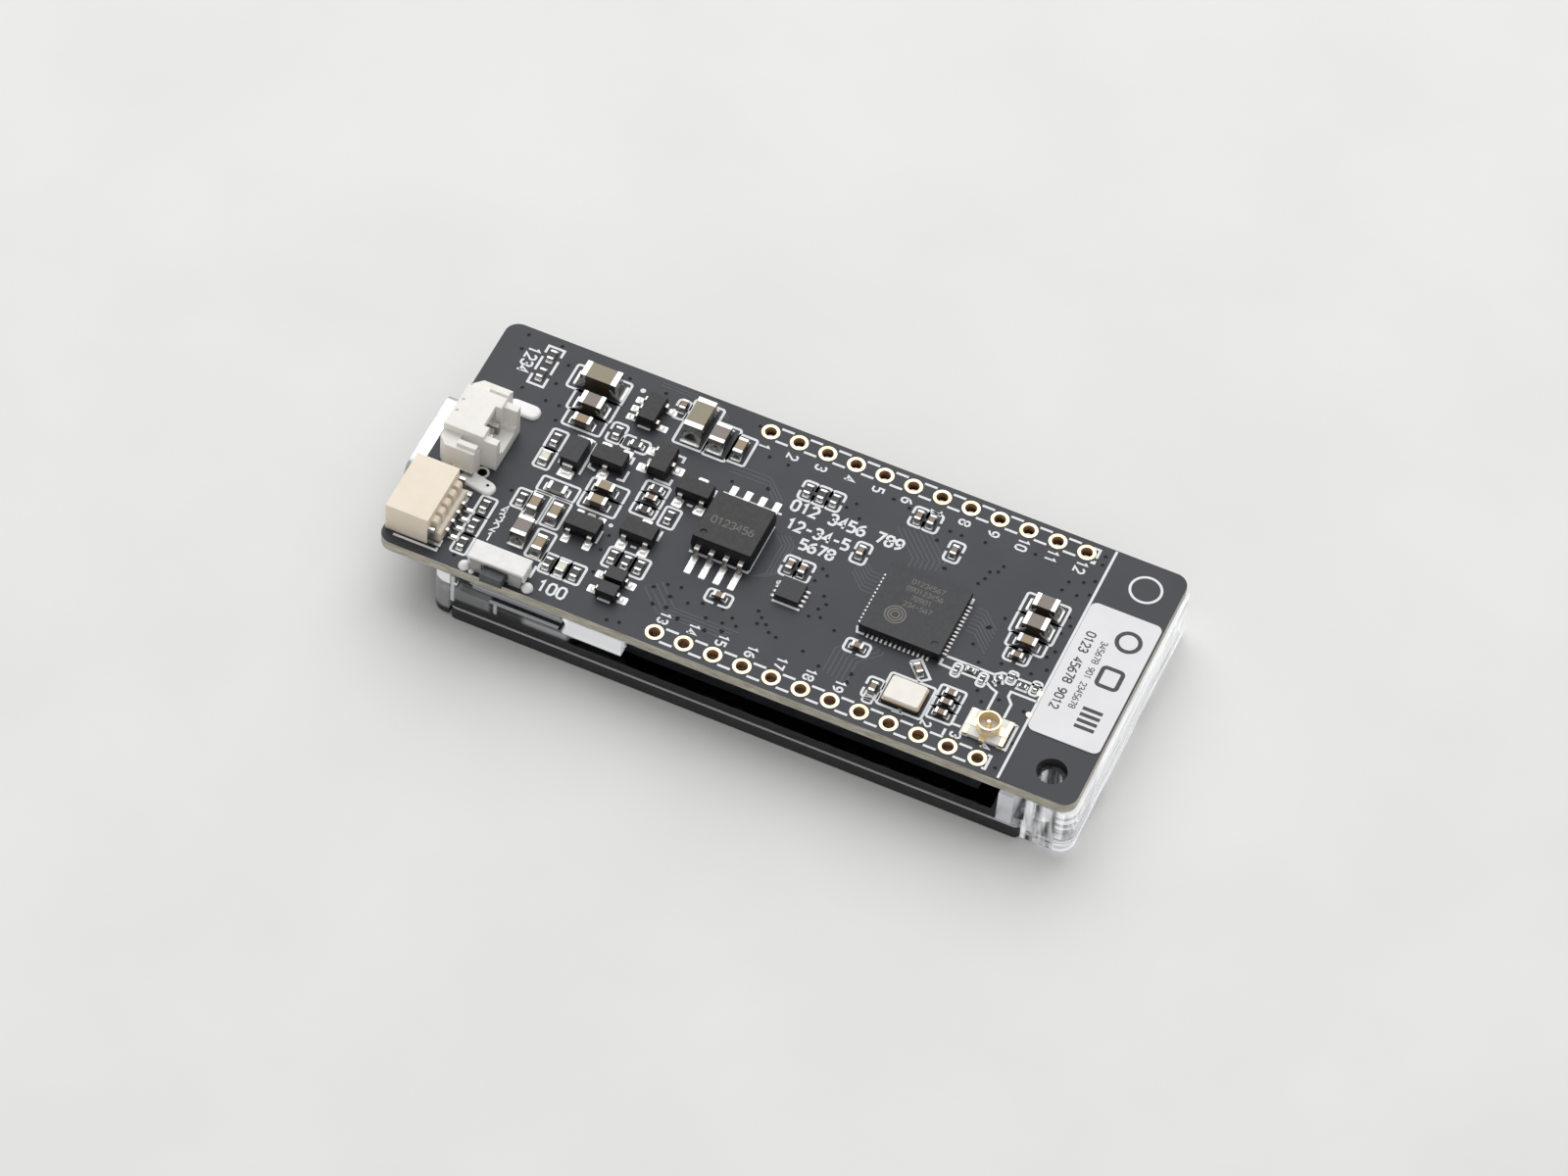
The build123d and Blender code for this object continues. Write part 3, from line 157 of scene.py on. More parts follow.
# Tracks under the lacquer: a path, the step from each track to the next, and how many
track_bundles = (
    (((-9.2, 1.9), (-8.4, 1.1), (-8.4, -2.0), (-9.2, -2.8)), (0.3, 0.12), 4),
    (((0.05, 1.9), (-0.9, 1.9), (-2.3, 3.3)), (0.0, -0.42), 6),
    (((1.1, -4.5), (1.1, -4.9), (-0.4, -6.4), (-0.4, -9.0)), (0.42, -0.12), 6),
    (((8.2, 2.3), (9.0, 2.3), (10.5, 0.8)), (0.0, -0.42), 7),
    (((1.6, 3.6), (1.6, 4.6), (-0.8, 7.0)), (0.42, 0.12), 7),
    (((-16.6, -7.6), (-14.6, -9.6), (-9.0, -9.6)), (0.35, 0.35), 4),
    (((-15.4, 6.2), (-12.0, 6.2), (-10.2, 4.4)), (0.0, 0.42), 3),
    (((-24.0, 11.9), (-19.0, 11.9), (-17.6, 10.9)), (0.0, 0.3), 2),
)
track_width = 0.14

# Vias that show beside the parts
vias = (
    (-36.0, 11.9), (-23.3, 11.3), (-31.7, 10.4), (-35.9, 10.3), (-2.2, 9.5), (-11.3, 8.9), (3.2, 8.5),
    (-31.8, 8.2), (13.8, 8.0), (-4.7, 7.7), (8.5, 7.1), (13.6, 7.0), (14.9, 7.0), (8.3, 6.4), (-31.8, 6.2),
    (-30.6, 6.2), (7.7, 6.1), (7.6, 5.3), (4.3, 4.8), (-30.2, 4.7), (7.3, 4.6), (-10.1, 3.1), (-4.5, 0.4),
    (-3.9, -0.1), (-3.3, -2.1), (-2.8, -2.8), (-3.2, -3.5), (-2.7, -4.2), (-3.6, -4.5), (-1.2, -4.9),
    (-7.4, -5.8), (-6.9, -6.3), (-13.9, -6.4), (-15.0, -6.6), (-6.3, -6.8), (-7.0, -7.0), (-15.9, -7.3),
    (-9.0, -7.4), (-5.8, -7.4), (-14.3, -7.6), (-12.8, -7.6), (-5.1, -7.6), (-8.4, -8.0), (-9.5, -8.2),
    (-10.9, -8.3), (1.8, -8.3), (-9.2, -9.0), (15.5, 11.7), (15.6, 10.8), (14.9, 8.5), (15.7, 9.0),
    (15.8, 7.5),
    (15.2, 4.7), (15.6, 3.9), (15.2, 2.9), (15.5, 1.0), (15.1, 0.2), (15.6, -1.0), (14.6, -1.9), (12.1, -2.0),
    (10.4, -2.7), (13.3, -5.4), (11.4, -5.3), (12.1, -6.2), (15.5, -5.6), (15.9, -8.9), (15.6, -11.7),
    (-4.6, -1.0), (-5.3, 7.0), (-3.9, 6.4), (2.2, 9.1), (2.6, 7.2), (-0.7, 9.2), (4.2, 8.5), (-14.2, -8.8),
    (-15.3, -8.9), (-10.5, -9.5), (-12.9, -9.4), (-11.7, -7.1), (-10.0, -6.9), (-16.9, -11.8), (1.8, -9.2),
    (-34.1, 6.6), (-33.0, 12.0), (-26.6, 11.4), (-30.3, -3.5), (-31.6, -11.5), (-21.3, -5.8), (-20.9, -8.1),
    (-16.5, 7.0), (-14.7, 5.3), (-21.3, -4.2), (-17.9, -12.0), (-15.0, 11.6), (6.2, 8.7), (10.3, 9.4),
    (9.8, 0.9), (10.6, 2.3), (9.3, -1.2), (-13.0, 9.0), (-11.8, 5.9), (-6.1, -9.6), (-2.6, -7.9),
    (-0.9, -8.7),
)
via_radius = 0.26
via_hole = 0.18
via_slope = 0.9          # radius of a via's rim against its foot
via_hole_rise = 1.3      # height of its dark middle, painted shade, against its rim

# Places that change a material
edge_band = 0.5             # width of the glass cloth that shows at the board's cut edge
rib_x = 17.15
rib_half = 0.66
flat_slope = 0.7            # a face that turns further away from level counts as a side
tallest_part = 10
side_metallic = 0.95
relief_cells = 4            # cells of a plain finish's relief for each cell of its colour
bevel_samples = 6

# Places of the clear frame painted milky and glowing, a painted glow where light collects in the plastic: two
# corners and the length over which each fades
end_glow_block = ((21.6, -14, 0), (26, 14, 6), 0.4)
corner_glow_block = ((18.9, -14, 0), (21.6, -11, 6), 1.2)
# Its painted highlights, glowing patches that stand in for light seen through the plastic, which also have a
# strength
painted_glow_blocks = (
    ((-21.2, -14, 3.6), (-16.0, -12.2, 5.4), 0.35, 1.0),
    ((-24.5, -14, 3.05), (-21.2, -12.6, 3.2), 0.6, 0.4),
    ((-32.6, -14, 4.3), (-31.4, -12.2, 5.4), 0.25, 1.0),
    ((-31.0, -14, 4.35), (-29.0, -12.6, 4.5), 0.2, 0.8),
    ((-17.7, -14, 2.75), (-17.4, -12.6, 2.85), 0.2, 0.9),
    ((-32.6, -14, 1.2), (-31.5, -12.0, 4.0), 0.45, 0.32),
    ((-31.15, -14, 2.2), (-31.0, -12.4, 5.2), 0.2, 0.65),
    ((-31.0, -14, 2.7), (-28.0, -12.4, 3.9), 0.4, 0.22),
    ((-29.5, -14, 3.95), (-21.7, -11.6, 5.2), 0.15, 0.36),
    ((-27.8, -14, 3.78), (-21.8, -12.6, 3.82), 0.12, 0.5),
    ((-27.35, -14, 2.6), (-27.2, -12.6, 3.7), 0.15, 0.5),
)
tray_highlight_half = 0.06            # half the height of the painted highlight line along the tray's upper edge
picture_shift = 1.2
picture_half_x = 21.5
picture_half_y = 11.4
large_split = 1.3           # height above the board between two sizes of capacitor
small_split = 0.65

# Solder on pads
solder_climb = 0.75         # the part of a pad's free length over which its solder climbs to the metal
pad_corner = 0.18           # corner radius against the pad's shorter side
coat_reach = 0.96           # the part of a pad that its flat coat covers before the edge drops
least_reach = 0.05
chip_pad_inside = 0.3       # against the length of a chip part's end band
chip_pad_outside = 0.36     # against its width
chip_pad_side = 0.06
chip_solder_height = 0.6    # against the part's height
lead_foot_height = 0.2
lead_knee_depth = 0.05
centre_pad_reach = 0.5      # a pad this near to its chip's middle has no solder outside
flat_pad_side = 0.01
flat_pad_solder = 0.05

# Leads with solder: past their heel, past their toe, beside them, and its height
lead_joints = (
    ("flash_leads", 0.2, 0.95, 0.1, 0.12), ("regulator_leads", 0.15, 0.45, 0.16, 0.14),
    ("transistor_leads", 0.15, 0.48, 0.27, 0.14), ("diode_leads", 0.15, 0.45, 0.24, 0.14),
    ("expansion_contacts", 0.05, 0.2, 0.1, 0.1),
)
pad_joints = (("mcu_pads", 0.12), ("logic_chip_pads", 0.15))
chip_joints = (
    ("large_capacitor_bodies", "large_capacitor_ends"), ("small_capacitor_bodies", "small_capacitor_ends"),
    ("resistor_bodies", "resistor_ends"), ("indicator_lights", "indicator_ends"),
)

# Plain rings on the largest chip: place from its corner, radii and line
chip_disc = (2.25, 2.15)
chip_disc_rings = (0.35, 0.6, 0.85)
chip_disc_line = 0.14

# Rows of numbers on the two large chips: text, place, height and stroke
mcu_rows = ("01234567", "890123456", "78901", "234-567")
mcu_row_from_corner = (3.6, 1.15)
mcu_row_step = 0.78
mcu_row_height = 0.46
mcu_row_stroke = 0.07
flash_row = "0123456"
flash_row_drop = 0.3
flash_row_height = 0.7
flash_row_stroke = 0.1
mark_height = 0.006

# Print on the label: rows of numbers, and a ring, a square and bars
label_rows = (("0123 45678 9012", 17.45, -0.1, 0.72, 0.13), ("345678 901 2345678", 18.75, 0.0, 0.52, 0.08))
label_ring = (20.45, 4.4, 0.95)
label_square = (19.6, -0.55, 21.3, 1.35, 0.3)
label_line = 0.36
label_bars = (19.6, 21.3, -3.2, 4)
label_bar_step = 0.62
label_bar_width = 0.34
label_print_height = 0.008

hole_radius = 0.5
barrel_wall = 0.015
barrel_steps = 32
# Mounds of solder: centre x and y, then length, width, height and turn, or radius and height
leg_blobs = ((-33.0, 4.5, 3.0, 1.45, 0.3, 0), (-33.05, -4.05, 3.3, 1.4, 0.28, -12))
round_blobs = ((-30.4, -12.15, 0.5, 0.5), (-24.9, -12.0, 0.5, 0.55), (-29.65, -12.4, 0.25, 0.2))
blob_angles = (0, 0.25, 0.55, 0.9, 1.2, 1.5)
mound_corner = 0.45         # corner radius against the mound's width
# How far in each ring of a mound lies, as what is left of its width, and how high
mound_profile = ((1.0, 0.0), (0.97, 0.4), (0.92, 0.7), (0.84, 0.88), (0.72, 0.96), (0.5, 1.0))

peg_x = -33.2
peg_y = 2.89
peg_ring = 0.5
peg_ring_width = 0.2
# A pit in the solder, painted as a near black dot of shade
painted_pit_shades = ((-32.15, -4.1, 0.13),)
blob_pit_height = 0.3

# Stage: the floor and the lamp in metres
floor_reach = 3.0
floor_drop = 0.00002
sky_strength = 0.5
lamp_place = (-0.25, 0.6, 0.75)
lamp_size = 1.3
lamp_power = 7.6

# Camera: its place from the middle of the board's upper face, and its right, its down and its view
sensor_width = 36
focal_length = 149.68
nearest_shown = 0.05
furthest_shown = 10
camera_place = (100.284, -303.704, 413.024)
camera_ways = (
    (0.91293792, 0.40392243, 0.05823251),
    (0.3531225, -0.71034204, -0.60886673),
    (-0.20456993, 0.57642073, -0.79113228),
)


def linear(red, green, blue):
    """A screen colour, given as 0 to 255, as the shaders' linear colour."""
    values = []
    for value in (red, green, blue):
        share = value / 255
        values.append(share / 12.92 if share <= 0.04045 else ((share + 0.055) / 1.055) ** 2.4)
    return (*values, 1.0)


class Heap:
    """Points and faces of many small shapes that together make one piece."""

    def __init__(self):
        self.points = []
        self.faces = []

    def add(self, points, faces):
        base = len(self.points)
        self.points += points
        self.faces += [[base + index for index in face] for face in faces]

    def piece(self, name, material, smooth=False):
        mesh = bpy.data.meshes.new(name)
        mesh.from_pydata([Vector(point) * mm for point in self.points], [], self.faces)
        mesh.materials.append(material)
        mesh.polygons.foreach_set("use_smooth", [smooth] * len(mesh.polygons))
        made = bpy.data.objects.new(name, mesh)
        bpy.context.scene.collection.objects.link(made)
        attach(made, "board")
        return made


def ribbon(heap, path, width, low, high, closed=False):
    """A raised line of even width along a flat path."""
    points = []
    count = len(path)
    for index, (x, y) in enumerate(path):
        before = path[index - 1] if closed or index > 0 else None
        after = path[(index + 1) % count] if closed or index < count - 1 else None
        ways = []
        if before:
            ways.append(Vector((x - before[0], y - before[1])).normalized())
        if after:
            ways.append(Vector((after[0] - x, after[1] - y)).normalized())
        along = sum(ways, Vector((0, 0))).normalized()
        across = Vector((-along.y, along.x))
        reach = width / 2 / max(sharpest_turn, abs(across.dot(Vector((-ways[0].y, ways[0].x)))))
        for side in (-1, 1):
            for z in (low, high):
                points.append((x + side * across.x * reach, y + side * across.y * reach, z))
    faces = []
    for index in range(count if closed else count - 1):
        a = index * 4
        b = (index + 1) % count * 4
        faces += [(a + 1, b + 1, b + 3, a + 3), (a, b, b + 1, a + 1), (b + 2, a + 2, a + 3, b + 3)]
    if not closed:
        last = (count - 1) * 4
        faces += [(0, 1, 3, 2), (last, last + 2, last + 3, last + 1)]
    heap.add(points, faces)


def rounded_outline(left, low, right, high, corner, steps=corner_steps):
    """Points round a rectangle with rounded corners, anticlockwise from its right side."""
    points = []
    centres = ((right, high, 0), (left, high, 90), (left, low, 180), (right, low, 270))
    for x, y, start in centres:
        middle_x = x - math.copysign(corner, x - (left + right) / 2)
        middle_y = y - math.copysign(corner, y - (low + high) / 2)
        for step in range(steps + 1):
            angle = math.radians(start + 90 * step / steps)
            points.append((middle_x + corner * math.cos(angle), middle_y + corner * math.sin(angle)))
    return points


def split_outline(left, low, right, high, corner, gap):
    """Two halves of a rounded rectangle, apart by a gap in the middle of its long sides."""
    points = rounded_outline(left, low, right, high, corner)
    turn = corner_steps + 1
    middle_x = (left + right) / 2
    middle_y = (low + high) / 2
    if high - low > right - left:
        upper = [(right, middle_y + gap)] + points[:2 * turn] + [(left, middle_y + gap)]
        lower = [(left, middle_y - gap)] + points[2 * turn:] + [(right, middle_y - gap)]
        return upper, lower
    west = [(middle_x - gap, high)] + points[turn:3 * turn] + [(middle_x - gap, low)]
    east = [(middle_x + gap, low)] + points[3 * turn:] + points[:turn] + [(middle_x + gap, high)]
    return west, east


def circle(x, y, radius, steps):
    angles = [2 * math.pi * step / steps for step in range(steps)]
    return [(x + radius * math.cos(angle), y + radius * math.sin(angle)) for angle in angles]


def stack(heap, rings):
    """A shape from rings of as many points each, lowest first, closed at its top."""
    count = len(rings[0])
    faces = []
    for level in range(len(rings) - 1):
        for step in range(count):
            a = level * count + step
            b = level * count + (step + 1) % count
            faces.append((a, b, b + count, a + count))
    faces.append(tuple(range((len(rings) - 1) * count, len(rings) * count)))
    heap.add([point for ring in rings for point in ring], faces)


def dome(heap, x, y, profile, steps):
    """A turned shape on an upright axis, from (radius, height) pairs, closed at its top."""
    stack(heap, [[(px, py, height) for px, py in circle(x, y, radius, steps)] for radius, height in profile])


def write(heap, text, x, y, height, turn, stroke, low, high):
    """Figures drawn as even strokes, centred on a place and turned by some degrees."""
    spin = Matrix.Rotation(math.radians(turn), 2)
    width = (len(text) - 1) * figure_step + figure_width
    for index, letter in enumerate(text):
        for path in figures[letter]:
            shifted = [Vector((px + index * figure_step - width / 2, py - 0.5)) * height for px, py in path]
            ribbon(heap, [tuple(spin @ point + Vector((x, y))) for point in shifted], stroke, low, high)


def islands(node):
    """The points of each separate solid of a CAD node, in millimetres."""
    shape = bmesh.new()
    shape.from_mesh(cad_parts[node].data)
    bmesh.ops.remove_doubles(shape, verts=shape.verts, dist=same_place)
    shape.verts.ensure_lookup_table()
    seen = set()
    found = []
    for start in shape.verts:
        if start.index in seen:
            continue
        seen.add(start.index)
        waiting = [start]
        members = []
        while waiting:
            vert = waiting.pop()
            members.append(vert.co / mm)
            for edge in vert.link_edges:
                other = edge.other_vert(vert)
                if other.index not in seen:
                    seen.add(other.index)
                    waiting.append(other)
        found.append(members)
    shape.free()
    return found


def middle_of(points):
    low = Vector(map(min, zip(*points)))
    high = Vector(map(max, zip(*points)))
    return (low + high) / 2


def local_box(points, centre, along):
    """Extent of some points along a flat direction and across it."""
    across = Vector((-along.y, along.x))
    flat = [Vector((point.x - centre.x, point.y - centre.y)) for point in points]
    u = [point.dot(along) for point in flat]
    v = [point.dot(across) for point in flat]
    return min(u), max(u), min(v), max(v)


def solder(heap, centre, along, metal, pad, height, rings=6, steps=24, thickness=0.03):
    """Solder on a pad: a thin flat coat with a steep edge that rises to the metal's foot."""
    across = Vector((-along.y, along.x))
    metal_u0, metal_u1, metal_v = metal
    pad_u0, pad_u1, pad_v = pad
    corner = pad_corner * min(pad_u1 - pad_u0, 2 * pad_v)
    outline = rounded_outline(pad_u0, -pad_v, pad_u1, pad_v, corner, steps // 4 - 1)
    hub = Vector(((pad_u0 + pad_u1) / 2, 0))
    reach = max(pad_u1 - metal_u1, pad_v - metal_v, least_reach)
    shares = [ring / (rings - 1) * coat_reach for ring in range(1, rings)] + [1.0]
    flat = centre.xy + along * hub.x
    inside = metal_u0 <= hub.x <= metal_u1
    points = [(flat.x, flat.y, top + thickness + (height if inside else 0))]
    for part in shares:
        for u, v in outline:
            place = hub.lerp(Vector((u, v)), part)
            out_u = max(metal_u0 - place.x, 0, place.x - metal_u1)
            out_v = max(abs(place.y) - metal_v, 0)
            share = max(0.0, 1 - math.hypot(out_u, out_v) / reach / solder_climb)
            z = top + thickness + height * share ** 2 if part < 1 else top
            flat = centre.xy + along * place.x + across * place.y
            points.append((flat.x, flat.y, z))
    count = len(outline)
    faces = [(0, 1 + step, 1 + (step + 1) % count) for step in range(count)]
    for ring in range(rings - 1):
        for step in range(count):
            a = 1 + ring * count + step
            b = 1 + ring * count + (step + 1) % count
            faces.append((a, a + count, b + count, b))
    heap.add(points, faces)


def chip_solder(heap, bodies, ends):
    """Solder at both end bands of every chip part."""
    centres = [middle_of(points) for points in islands(bodies)]
    for points in islands(ends):
        middle = middle_of(points)
        centre = min(centres, key=lambda other: (other.xy - middle.xy).length)
        along = (middle.xy - centre.xy).normalized()
        u0, u1, v0, v1 = local_box(points, centre, along)
        high = max(point.z for point in points) - top
        width = v1 - v0
        reach = least_reach + chip_pad_outside * width
        pad = (u0 - chip_pad_inside * (u1 - u0), u1 + reach, width / 2 + chip_pad_side)
        solder(heap, centre, along, (u0, u1, width / 2), pad, chip_solder_height * high)


def lead_solder(heap, node, heel, toe, side, height):
    """Solder at the foot of every bent lead."""
    for points in islands(node):
        lowest = min(point.z for point in points)
        highest = max(point.z for point in points)
        foot = [point for point in points if point.z < lowest + lead_foot_height]
        knee = [point for point in points if point.z > highest - lead_knee_depth]
        centre = middle_of(foot)
        along = (centre.xy - middle_of(knee).xy).normalized()
        u0, u1, v0, v1 = local_box(foot, centre, along)
        half = (v1 - v0) / 2
        solder(heap, centre, along, (u0, u1, half), (u0 - heel, u1 + toe, half + side), height)


def pad_solder(heap, node, toe, steps=12, rings=2):
    """Solder beside every pad of a leadless chip, outside its body."""
    solids = islands(node)
    hub = middle_of([point for points in solids for point in points])
    for points in solids:
        centre = middle_of(points)
        out = centre.xy - hub.xy
        if out.length < centre_pad_reach:
            continue
        size = [max(values) - min(values) for values in zip(*points)]
        long_x = size[0] > size[1]
        along = Vector((math.copysign(1, out.x), 0)) if long_x else Vector((0, math.copysign(1, out.y)))
        u0, u1, v0, v1 = local_box(points, centre, along)
        half = (v1 - v0) / 2
        pad = (u0, u1 + toe, half + flat_pad_side)
        solder(heap, centre, along, (u0, u1, half), pad, flat_pad_solder, rings, steps)


# Materials. Colours are screen colours from 0 to 255, or another node's output.

def shader_of(material):
    return material.node_tree.nodes["Principled BSDF"]


def new_node(material, kind):
    return material.node_tree.nodes.new(kind)


def feed(material, socket, value):
    """Link an output to a socket, or give the socket a constant."""
    if isinstance(value, bpy.types.NodeSocket):
        material.node_tree.links.new(value, socket)
    else:
        socket.default_value = value


def set_shader(material, name, value):
    feed(material, shader_of(material).inputs[name], value)


def new_material(name, colour, roughness, metallic=0.0):
    material = bpy.data.materials.new(name)
    material.use_nodes = True
    set_shader(material, "Base Color", linear(*colour))
    set_shader(material, "Roughness", roughness)
    set_shader(material, "Metallic", metallic)
    return material


def calculate(material, operation, *values):
    """The result of one sum on outputs or numbers."""
    node = new_node(material, "ShaderNodeMath")
    node.operation = operation
    for socket, value in zip(node.inputs, values):
        feed(material, socket, value)
    return node.outputs["Value"]


def both_of(material, first, second):
    return calculate(material, "MULTIPLY", first, second)


def either_of(material, first, second):
    return calculate(material, "MAXIMUM", first, second)


def spread(material, share, at_zero, at_one, zero=0.0, one=1.0, course="LINEAR"):
    """A number that goes from one value to another as the share goes from zero to one."""
    change = new_node(material, "ShaderNodeMapRange")
    change.interpolation_type = course
    feed(material, change.inputs["Value"], share)
    feed(material, change.inputs["From Min"], zero)
    feed(material, change.inputs["From Max"], one)
    feed(material, change.inputs["To Min"], at_zero)
    feed(material, change.inputs["To Max"], at_one)
    return change.outputs["Result"]


def blend(material, share, first, second):
    """A colour that goes from the first to the second as the share goes from 0 to 1."""
    mix = new_node(material, "ShaderNodeMix")
    mix.data_type = "RGBA"
    feed(material, mix.inputs["Factor"], share)
    for name, colour in (("A", first), ("B", second)):
        feed(material, mix.inputs[name], linear(*colour) if isinstance(colour, tuple) else colour)
    return mix.outputs["Result"]


def object_place(material):
    return new_node(material, "ShaderNodeTexCoord").outputs["Object"]


def along_axis(material, vector, axis):
    parts = new_node(material, "ShaderNodeSeparateXYZ")
    feed(material, parts.inputs["Vector"], vector)
    return parts.outputs[axis]


def facing_up(material):
    """1 where a face looks up or down, 0 where it looks aside."""
    normal = new_node(material, "ShaderNodeNewGeometry").outputs["True Normal"]
    slope = calculate(material, "ABSOLUTE", along_axis(material, normal, "Z"))
    return calculate(material, "GREATER_THAN", slope, flat_slope)


def axis_within(material, axis, centre, half):
    """1 where the object's coordinate lies within a half width of a centre, in metres, else 0."""
    place = along_axis(material, object_place(material), axis)
    return calculate(material, "COMPARE", place, centre, half)


def soft_within(material, axis, low, high, soft):
    """1 well between two coordinates in millimetres, falling smoothly to 0 over a soft length outside."""
    half = (high - low) / 2
    place = along_axis(material, object_place(material), axis)
    away = calculate(material, "ABSOLUTE", calculate(material, "SUBTRACT", place, (low + high) / 2 * mm))
    return spread(material, away, 0.0, 1.0, (half + soft) * mm, half * mm, "SMOOTHSTEP")


def in_block(material, low, high, soft):
    """1 inside a block given by two corners in millimetres, falling to 0 over a soft length outside."""
    share = soft_within(material, "X", low[0], high[0], soft)
    for axis, index in (("Y", 1), ("Z", 2)):
        share = both_of(material, share, soft_within(material, axis, low[index], high[index], soft))
    return share


def object_noise(material, scale, detail=3.0, stretch=(1, 1, 1)):
    """Noise fixed to the object, at a scale given in cells for each millimetre."""
    mapping = new_node(material, "ShaderNodeMapping")
    feed(material, mapping.inputs["Vector"], object_place(material))
    feed(material, mapping.inputs["Scale"], [part / mm for part in stretch])
    noise = new_node(material, "ShaderNodeTexNoise")
    feed(material, noise.inputs["Vector"], mapping.outputs["Vector"])
    feed(material, noise.inputs["Scale"], scale)
    feed(material, noise.inputs["Detail"], detail)
    return noise.outputs["Fac"]


def two_shades(material, first, second, scale, low=0.35, high=0.65, detail=3.0, stretch=(1, 1, 1)):
    """Colour that wanders between two shades."""
    ramp = new_node(material, "ShaderNodeValToRGB")
    feed(material, ramp.inputs["Fac"], object_noise(material, scale, detail, stretch))
    for stop, position, shade in zip(ramp.color_ramp.elements, (low, high), (first, second)):
        stop.position = position
        stop.color = linear(*shade)
    return ramp.outputs["Color"]


def vary_colour(material, *shades, **settings):
    set_shader(material, "Base Color", two_shades(material, *shades, **settings))


def vary_roughness(material, low, high, scale):
    noise = object_noise(material, scale)
    set_shader(material, "Roughness", spread(material, noise, low, high, 0.3, 0.7))


def colour_by_facing(material, sides, flat):
    """One colour on the sides, and another on the faces that look up or down."""
    set_shader(material, "Base Color", blend(material, facing_up(material), sides, flat))


def metal_by_facing(material, sides, flat, flat_metallic):
    """Bright on the flat faces, and the sides painted as dark as the board that they would reflect: a painted
    reflection.
    """
    colour_by_facing(material, sides, flat)
    metallic = spread(material, facing_up(material), side_metallic, flat_metallic)
    set_shader(material, "Metallic", metallic)


def add_relief(material, scale, depth, edge=0.0, stretch=(1, 1, 1)):
    """Fine relief on the surface, depth in millimetres, and edges softened by a small radius."""
    bump = new_node(material, "ShaderNodeBump")
    feed(material, bump.inputs["Distance"], depth * mm)
    feed(material, bump.inputs["Height"], object_noise(material, scale, stretch=stretch))
    if edge:
        bevel = new_node(material, "ShaderNodeBevel")
        bevel.samples = bevel_samples
        feed(material, bevel.inputs["Radius"], edge * mm)
        feed(material, bump.inputs["Normal"], bevel.outputs["Normal"])
    set_shader(material, "Normal", bump.outputs["Normal"])


def solder_mask():
    """Dark grey lacquer on the two faces, layered glass cloth on the cut edges, and the hole walls painted
    dark as shade.
    """
    material = new_material("solder_mask", (75, 77, 83), 0.42)
    lacquer = two_shades(material, (53, 55, 61), (58, 60, 66), 0.12, 0.3, 0.7, 2.0)
    cloth = two_shades(material, (142, 137, 122), (216, 210, 195), 0.9, 0.3, 0.72, 4.0, (1, 1, 14))
    middle = (board_low + board_high) / 2 * mm
    half = (board_high - board_low) / 2 * mm - Vector((1, 1, 0)) * edge_band * mm
    inside = both_of(material, axis_within(material, "X", middle.x, half.x),
                     axis_within(material, "Y", middle.y, half.y))
    # Sides away from the cut edge are the hole walls, painted near black as shade
    colour_by_facing(material, blend(material, inside, cloth, (34, 32, 30)), lacquer)
    vary_roughness(material, 0.42, 0.48, 0.3)
    add_relief(material, 2.0, 0.001)
    set_shader(material, "Specular IOR Level", 0.35)
    return material


def ceramic(name, high_shade, low_shade, level):
    """Fired ceramic with its sides painted dark brown as shade: bodies whose tops are above a level have
    their own colour.
    """
    material = new_material(name, high_shade, 0.3)
    taller = axis_within(material, "Z", (top + level + tallest_part) * mm, tallest_part * mm)
    # The dark brown on the sides is painted shade
    colour_by_facing(material, (66, 56, 46), blend(material, taller, low_shade, high_shade))
    vary_roughness(material, 0.24, 0.4, 4.0)
    add_relief(material, 6.0, 0.004, 0.05)
    return material


def crystal_case():
    """Ceramic base with a gold rim on top and dark sides."""
    material = new_material("crystal_case", (210, 176, 112), 0.35)
    colour_by_facing(material, (40, 35, 30), (224, 190, 126))
    add_relief(material, 5.0, 0.003)
    return material


def tinned_metal():
    material = new_material("tinned_metal", (240, 238, 234), 0.28, 0.75)
    upper = two_shades(material, (236, 234, 230), (252, 251, 248), 1.5)
    # The tin's grey sides are a painted reflection of the dark board
    metal_by_facing(material, (150, 148, 145), upper, 0.7)
    vary_roughness(material, 0.2, 0.36, 2.5)
    add_relief(material, 3.0, 0.006, 0.03)
    return material


def solder_metal():
    """Solder: white where it lies flat, half plain white colour as a painted sheen, and darker where it
    climbs, a painted reflection of the dark board.
    """
    material = new_material("solder_metal", (246, 246, 245), 0.24, 0.6)
    upper = two_shades(material, (242, 242, 241), (254, 254, 253), 1.2)
    # Grey slopes are a painted reflection; the half diffuse white on flat parts is a painted sheen
    metal_by_facing(material, (138, 138, 137), upper, 0.5)
    add_relief(material, 1.0, 0.006)
    return material


def gold_metal():
    material = new_material("gold_metal", (246, 226, 182), 0.3, 0.75)
    vary_colour(material, (244, 222, 176), (252, 238, 210), 1.2)
    vary_roughness(material, 0.24, 0.36, 4.0)
    add_relief(material, 5.0, 0.003, 0.02)
    return material


def steel():
    material = new_material("steel", (196, 198, 200), 0.3, 1.0)
    vary_colour(material, (178, 180, 183), (208, 210, 212), 1.2, stretch=(0.2, 1, 1))
    vary_roughness(material, 0.24, 0.42, 2.0)
    add_relief(material, 5.0, 0.004, 0.05, (0.1, 1, 1))
    return material


